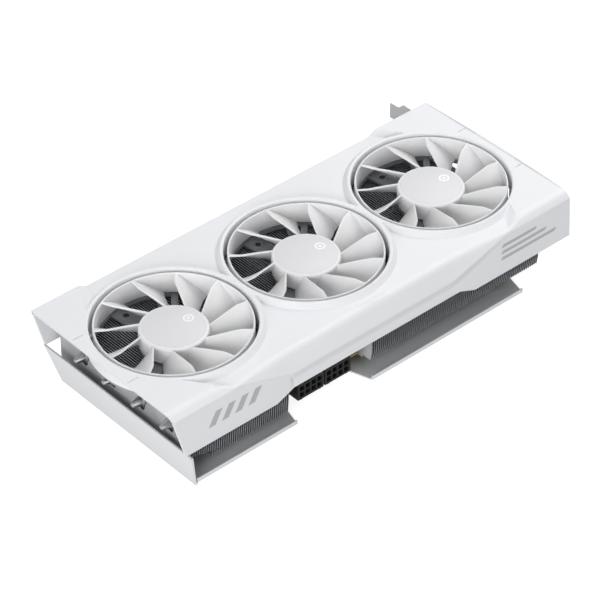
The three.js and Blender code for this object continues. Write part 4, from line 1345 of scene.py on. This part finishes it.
def build_camera():
    azimuth, elevation = math.radians(CAMERA_AZIMUTH), math.radians(CAMERA_ELEVATION)
    back = Vector((math.sin(azimuth) * math.cos(elevation),
                   -math.cos(azimuth) * math.cos(elevation), math.sin(elevation)))
    right = Vector((math.cos(azimuth), math.sin(azimuth), 0))
    up = back.cross(right)
    camera = put("camera", bpy.data.cameras.new("camera"))
    camera.data.lens = CAMERA_LENS
    camera.data.sensor_width = CAMERA_SENSOR
    camera.data.clip_end = 20
    camera.matrix_world = Matrix.Translation(Vector(place(CAMERA_TARGET)) + CAMERA_DISTANCE * back) @ (
        Matrix((right, up, back)).transposed().to_4x4())
    bpy.context.scene.camera = camera


def area_light(name, position, size, power):
    """A round soft box that faces the object."""
    light = bpy.data.lights.new(name, "AREA")
    light.shape = "DISK"
    light.size = size
    light.energy = power
    lamp = put(name, light)
    lamp.location = position
    lamp.rotation_euler = (-Vector(position)).to_track_quat("-Z", "Y").to_euler()


def build_sky():
    """A bright lower half, as a white table gives, under a dimmer upper half."""
    world = bpy.data.worlds.new("studio")
    world.use_nodes = True
    tree = world.node_tree
    direction = tree.nodes.new("ShaderNodeTexCoord")
    axes = tree.nodes.new("ShaderNodeSeparateXYZ")
    level = tree.nodes.new("ShaderNodeMapRange")
    preset(level, {"From Min": -0.12, "From Max": 0.12, "To Min": GROUND, "To Max": SKY})
    background = tree.nodes["Background"]
    preset(background, {"Color": (0.985, 0.99, 1, 1)})
    link(tree, direction.outputs["Generated"], axes.inputs["Vector"])
    link(tree, axes.outputs["Z"], level.inputs["Value"])
    link(tree, level.outputs["Result"], background.inputs["Strength"])
    bpy.context.scene.world = world


def build_studio():
    """A white floor, seen but throwing no light, and three soft boxes round the object."""
    material = bpy.data.materials.new("floor_white")
    material.use_nodes = True
    preset(material.node_tree.nodes["Principled BSDF"], {
        "Base Color": (0.42, 0.42, 0.42, 1), "Roughness": 0.9, "Specular IOR Level": 0,
        "Emission Color": (1, 1, 1, 1), "Emission Strength": FLOOR_GLOW,
    })
    mesh = bpy.data.meshes.new("floor")
    corners = rectangle(around(0, FLOOR_HALF), around(0, FLOOR_HALF))
    mesh.from_pydata([(x, y, FLOOR_LEVEL) for x, y in corners], [], [(0, 1, 2, 3)])
    mesh.materials.append(material)
    floor = put("floor", mesh)
    floor.visible_diffuse = False
    floor.visible_glossy = False
    build_sky()
    area_light("key", (1.3, 0.4, 1.4), 1.6, KEY)
    area_light("left_fill", (-1.8, -0.9, 0.65), 1.2, LEFT_FILL)
    area_light("front_fill", (-0.7, -2.25, 0.8), 1.4, FRONT_FILL)
    bpy.context.scene.view_settings.view_transform = "Standard"


build_camera()
build_studio()
build_shroud()
build_marks()
for fan_name, fan_x, rest in zip(FANS, FAN_X, REST_ANGLES):
    build_rotor(fan_name, fan_x, rest)
    build_frame(fan_name, fan_x)
build_cooler()
build_board()
for number in (1, 2):
    build_power_connector(number)
for port_name in PORTS:
    build_port(port_name)
build_bracket()
build_backplate()
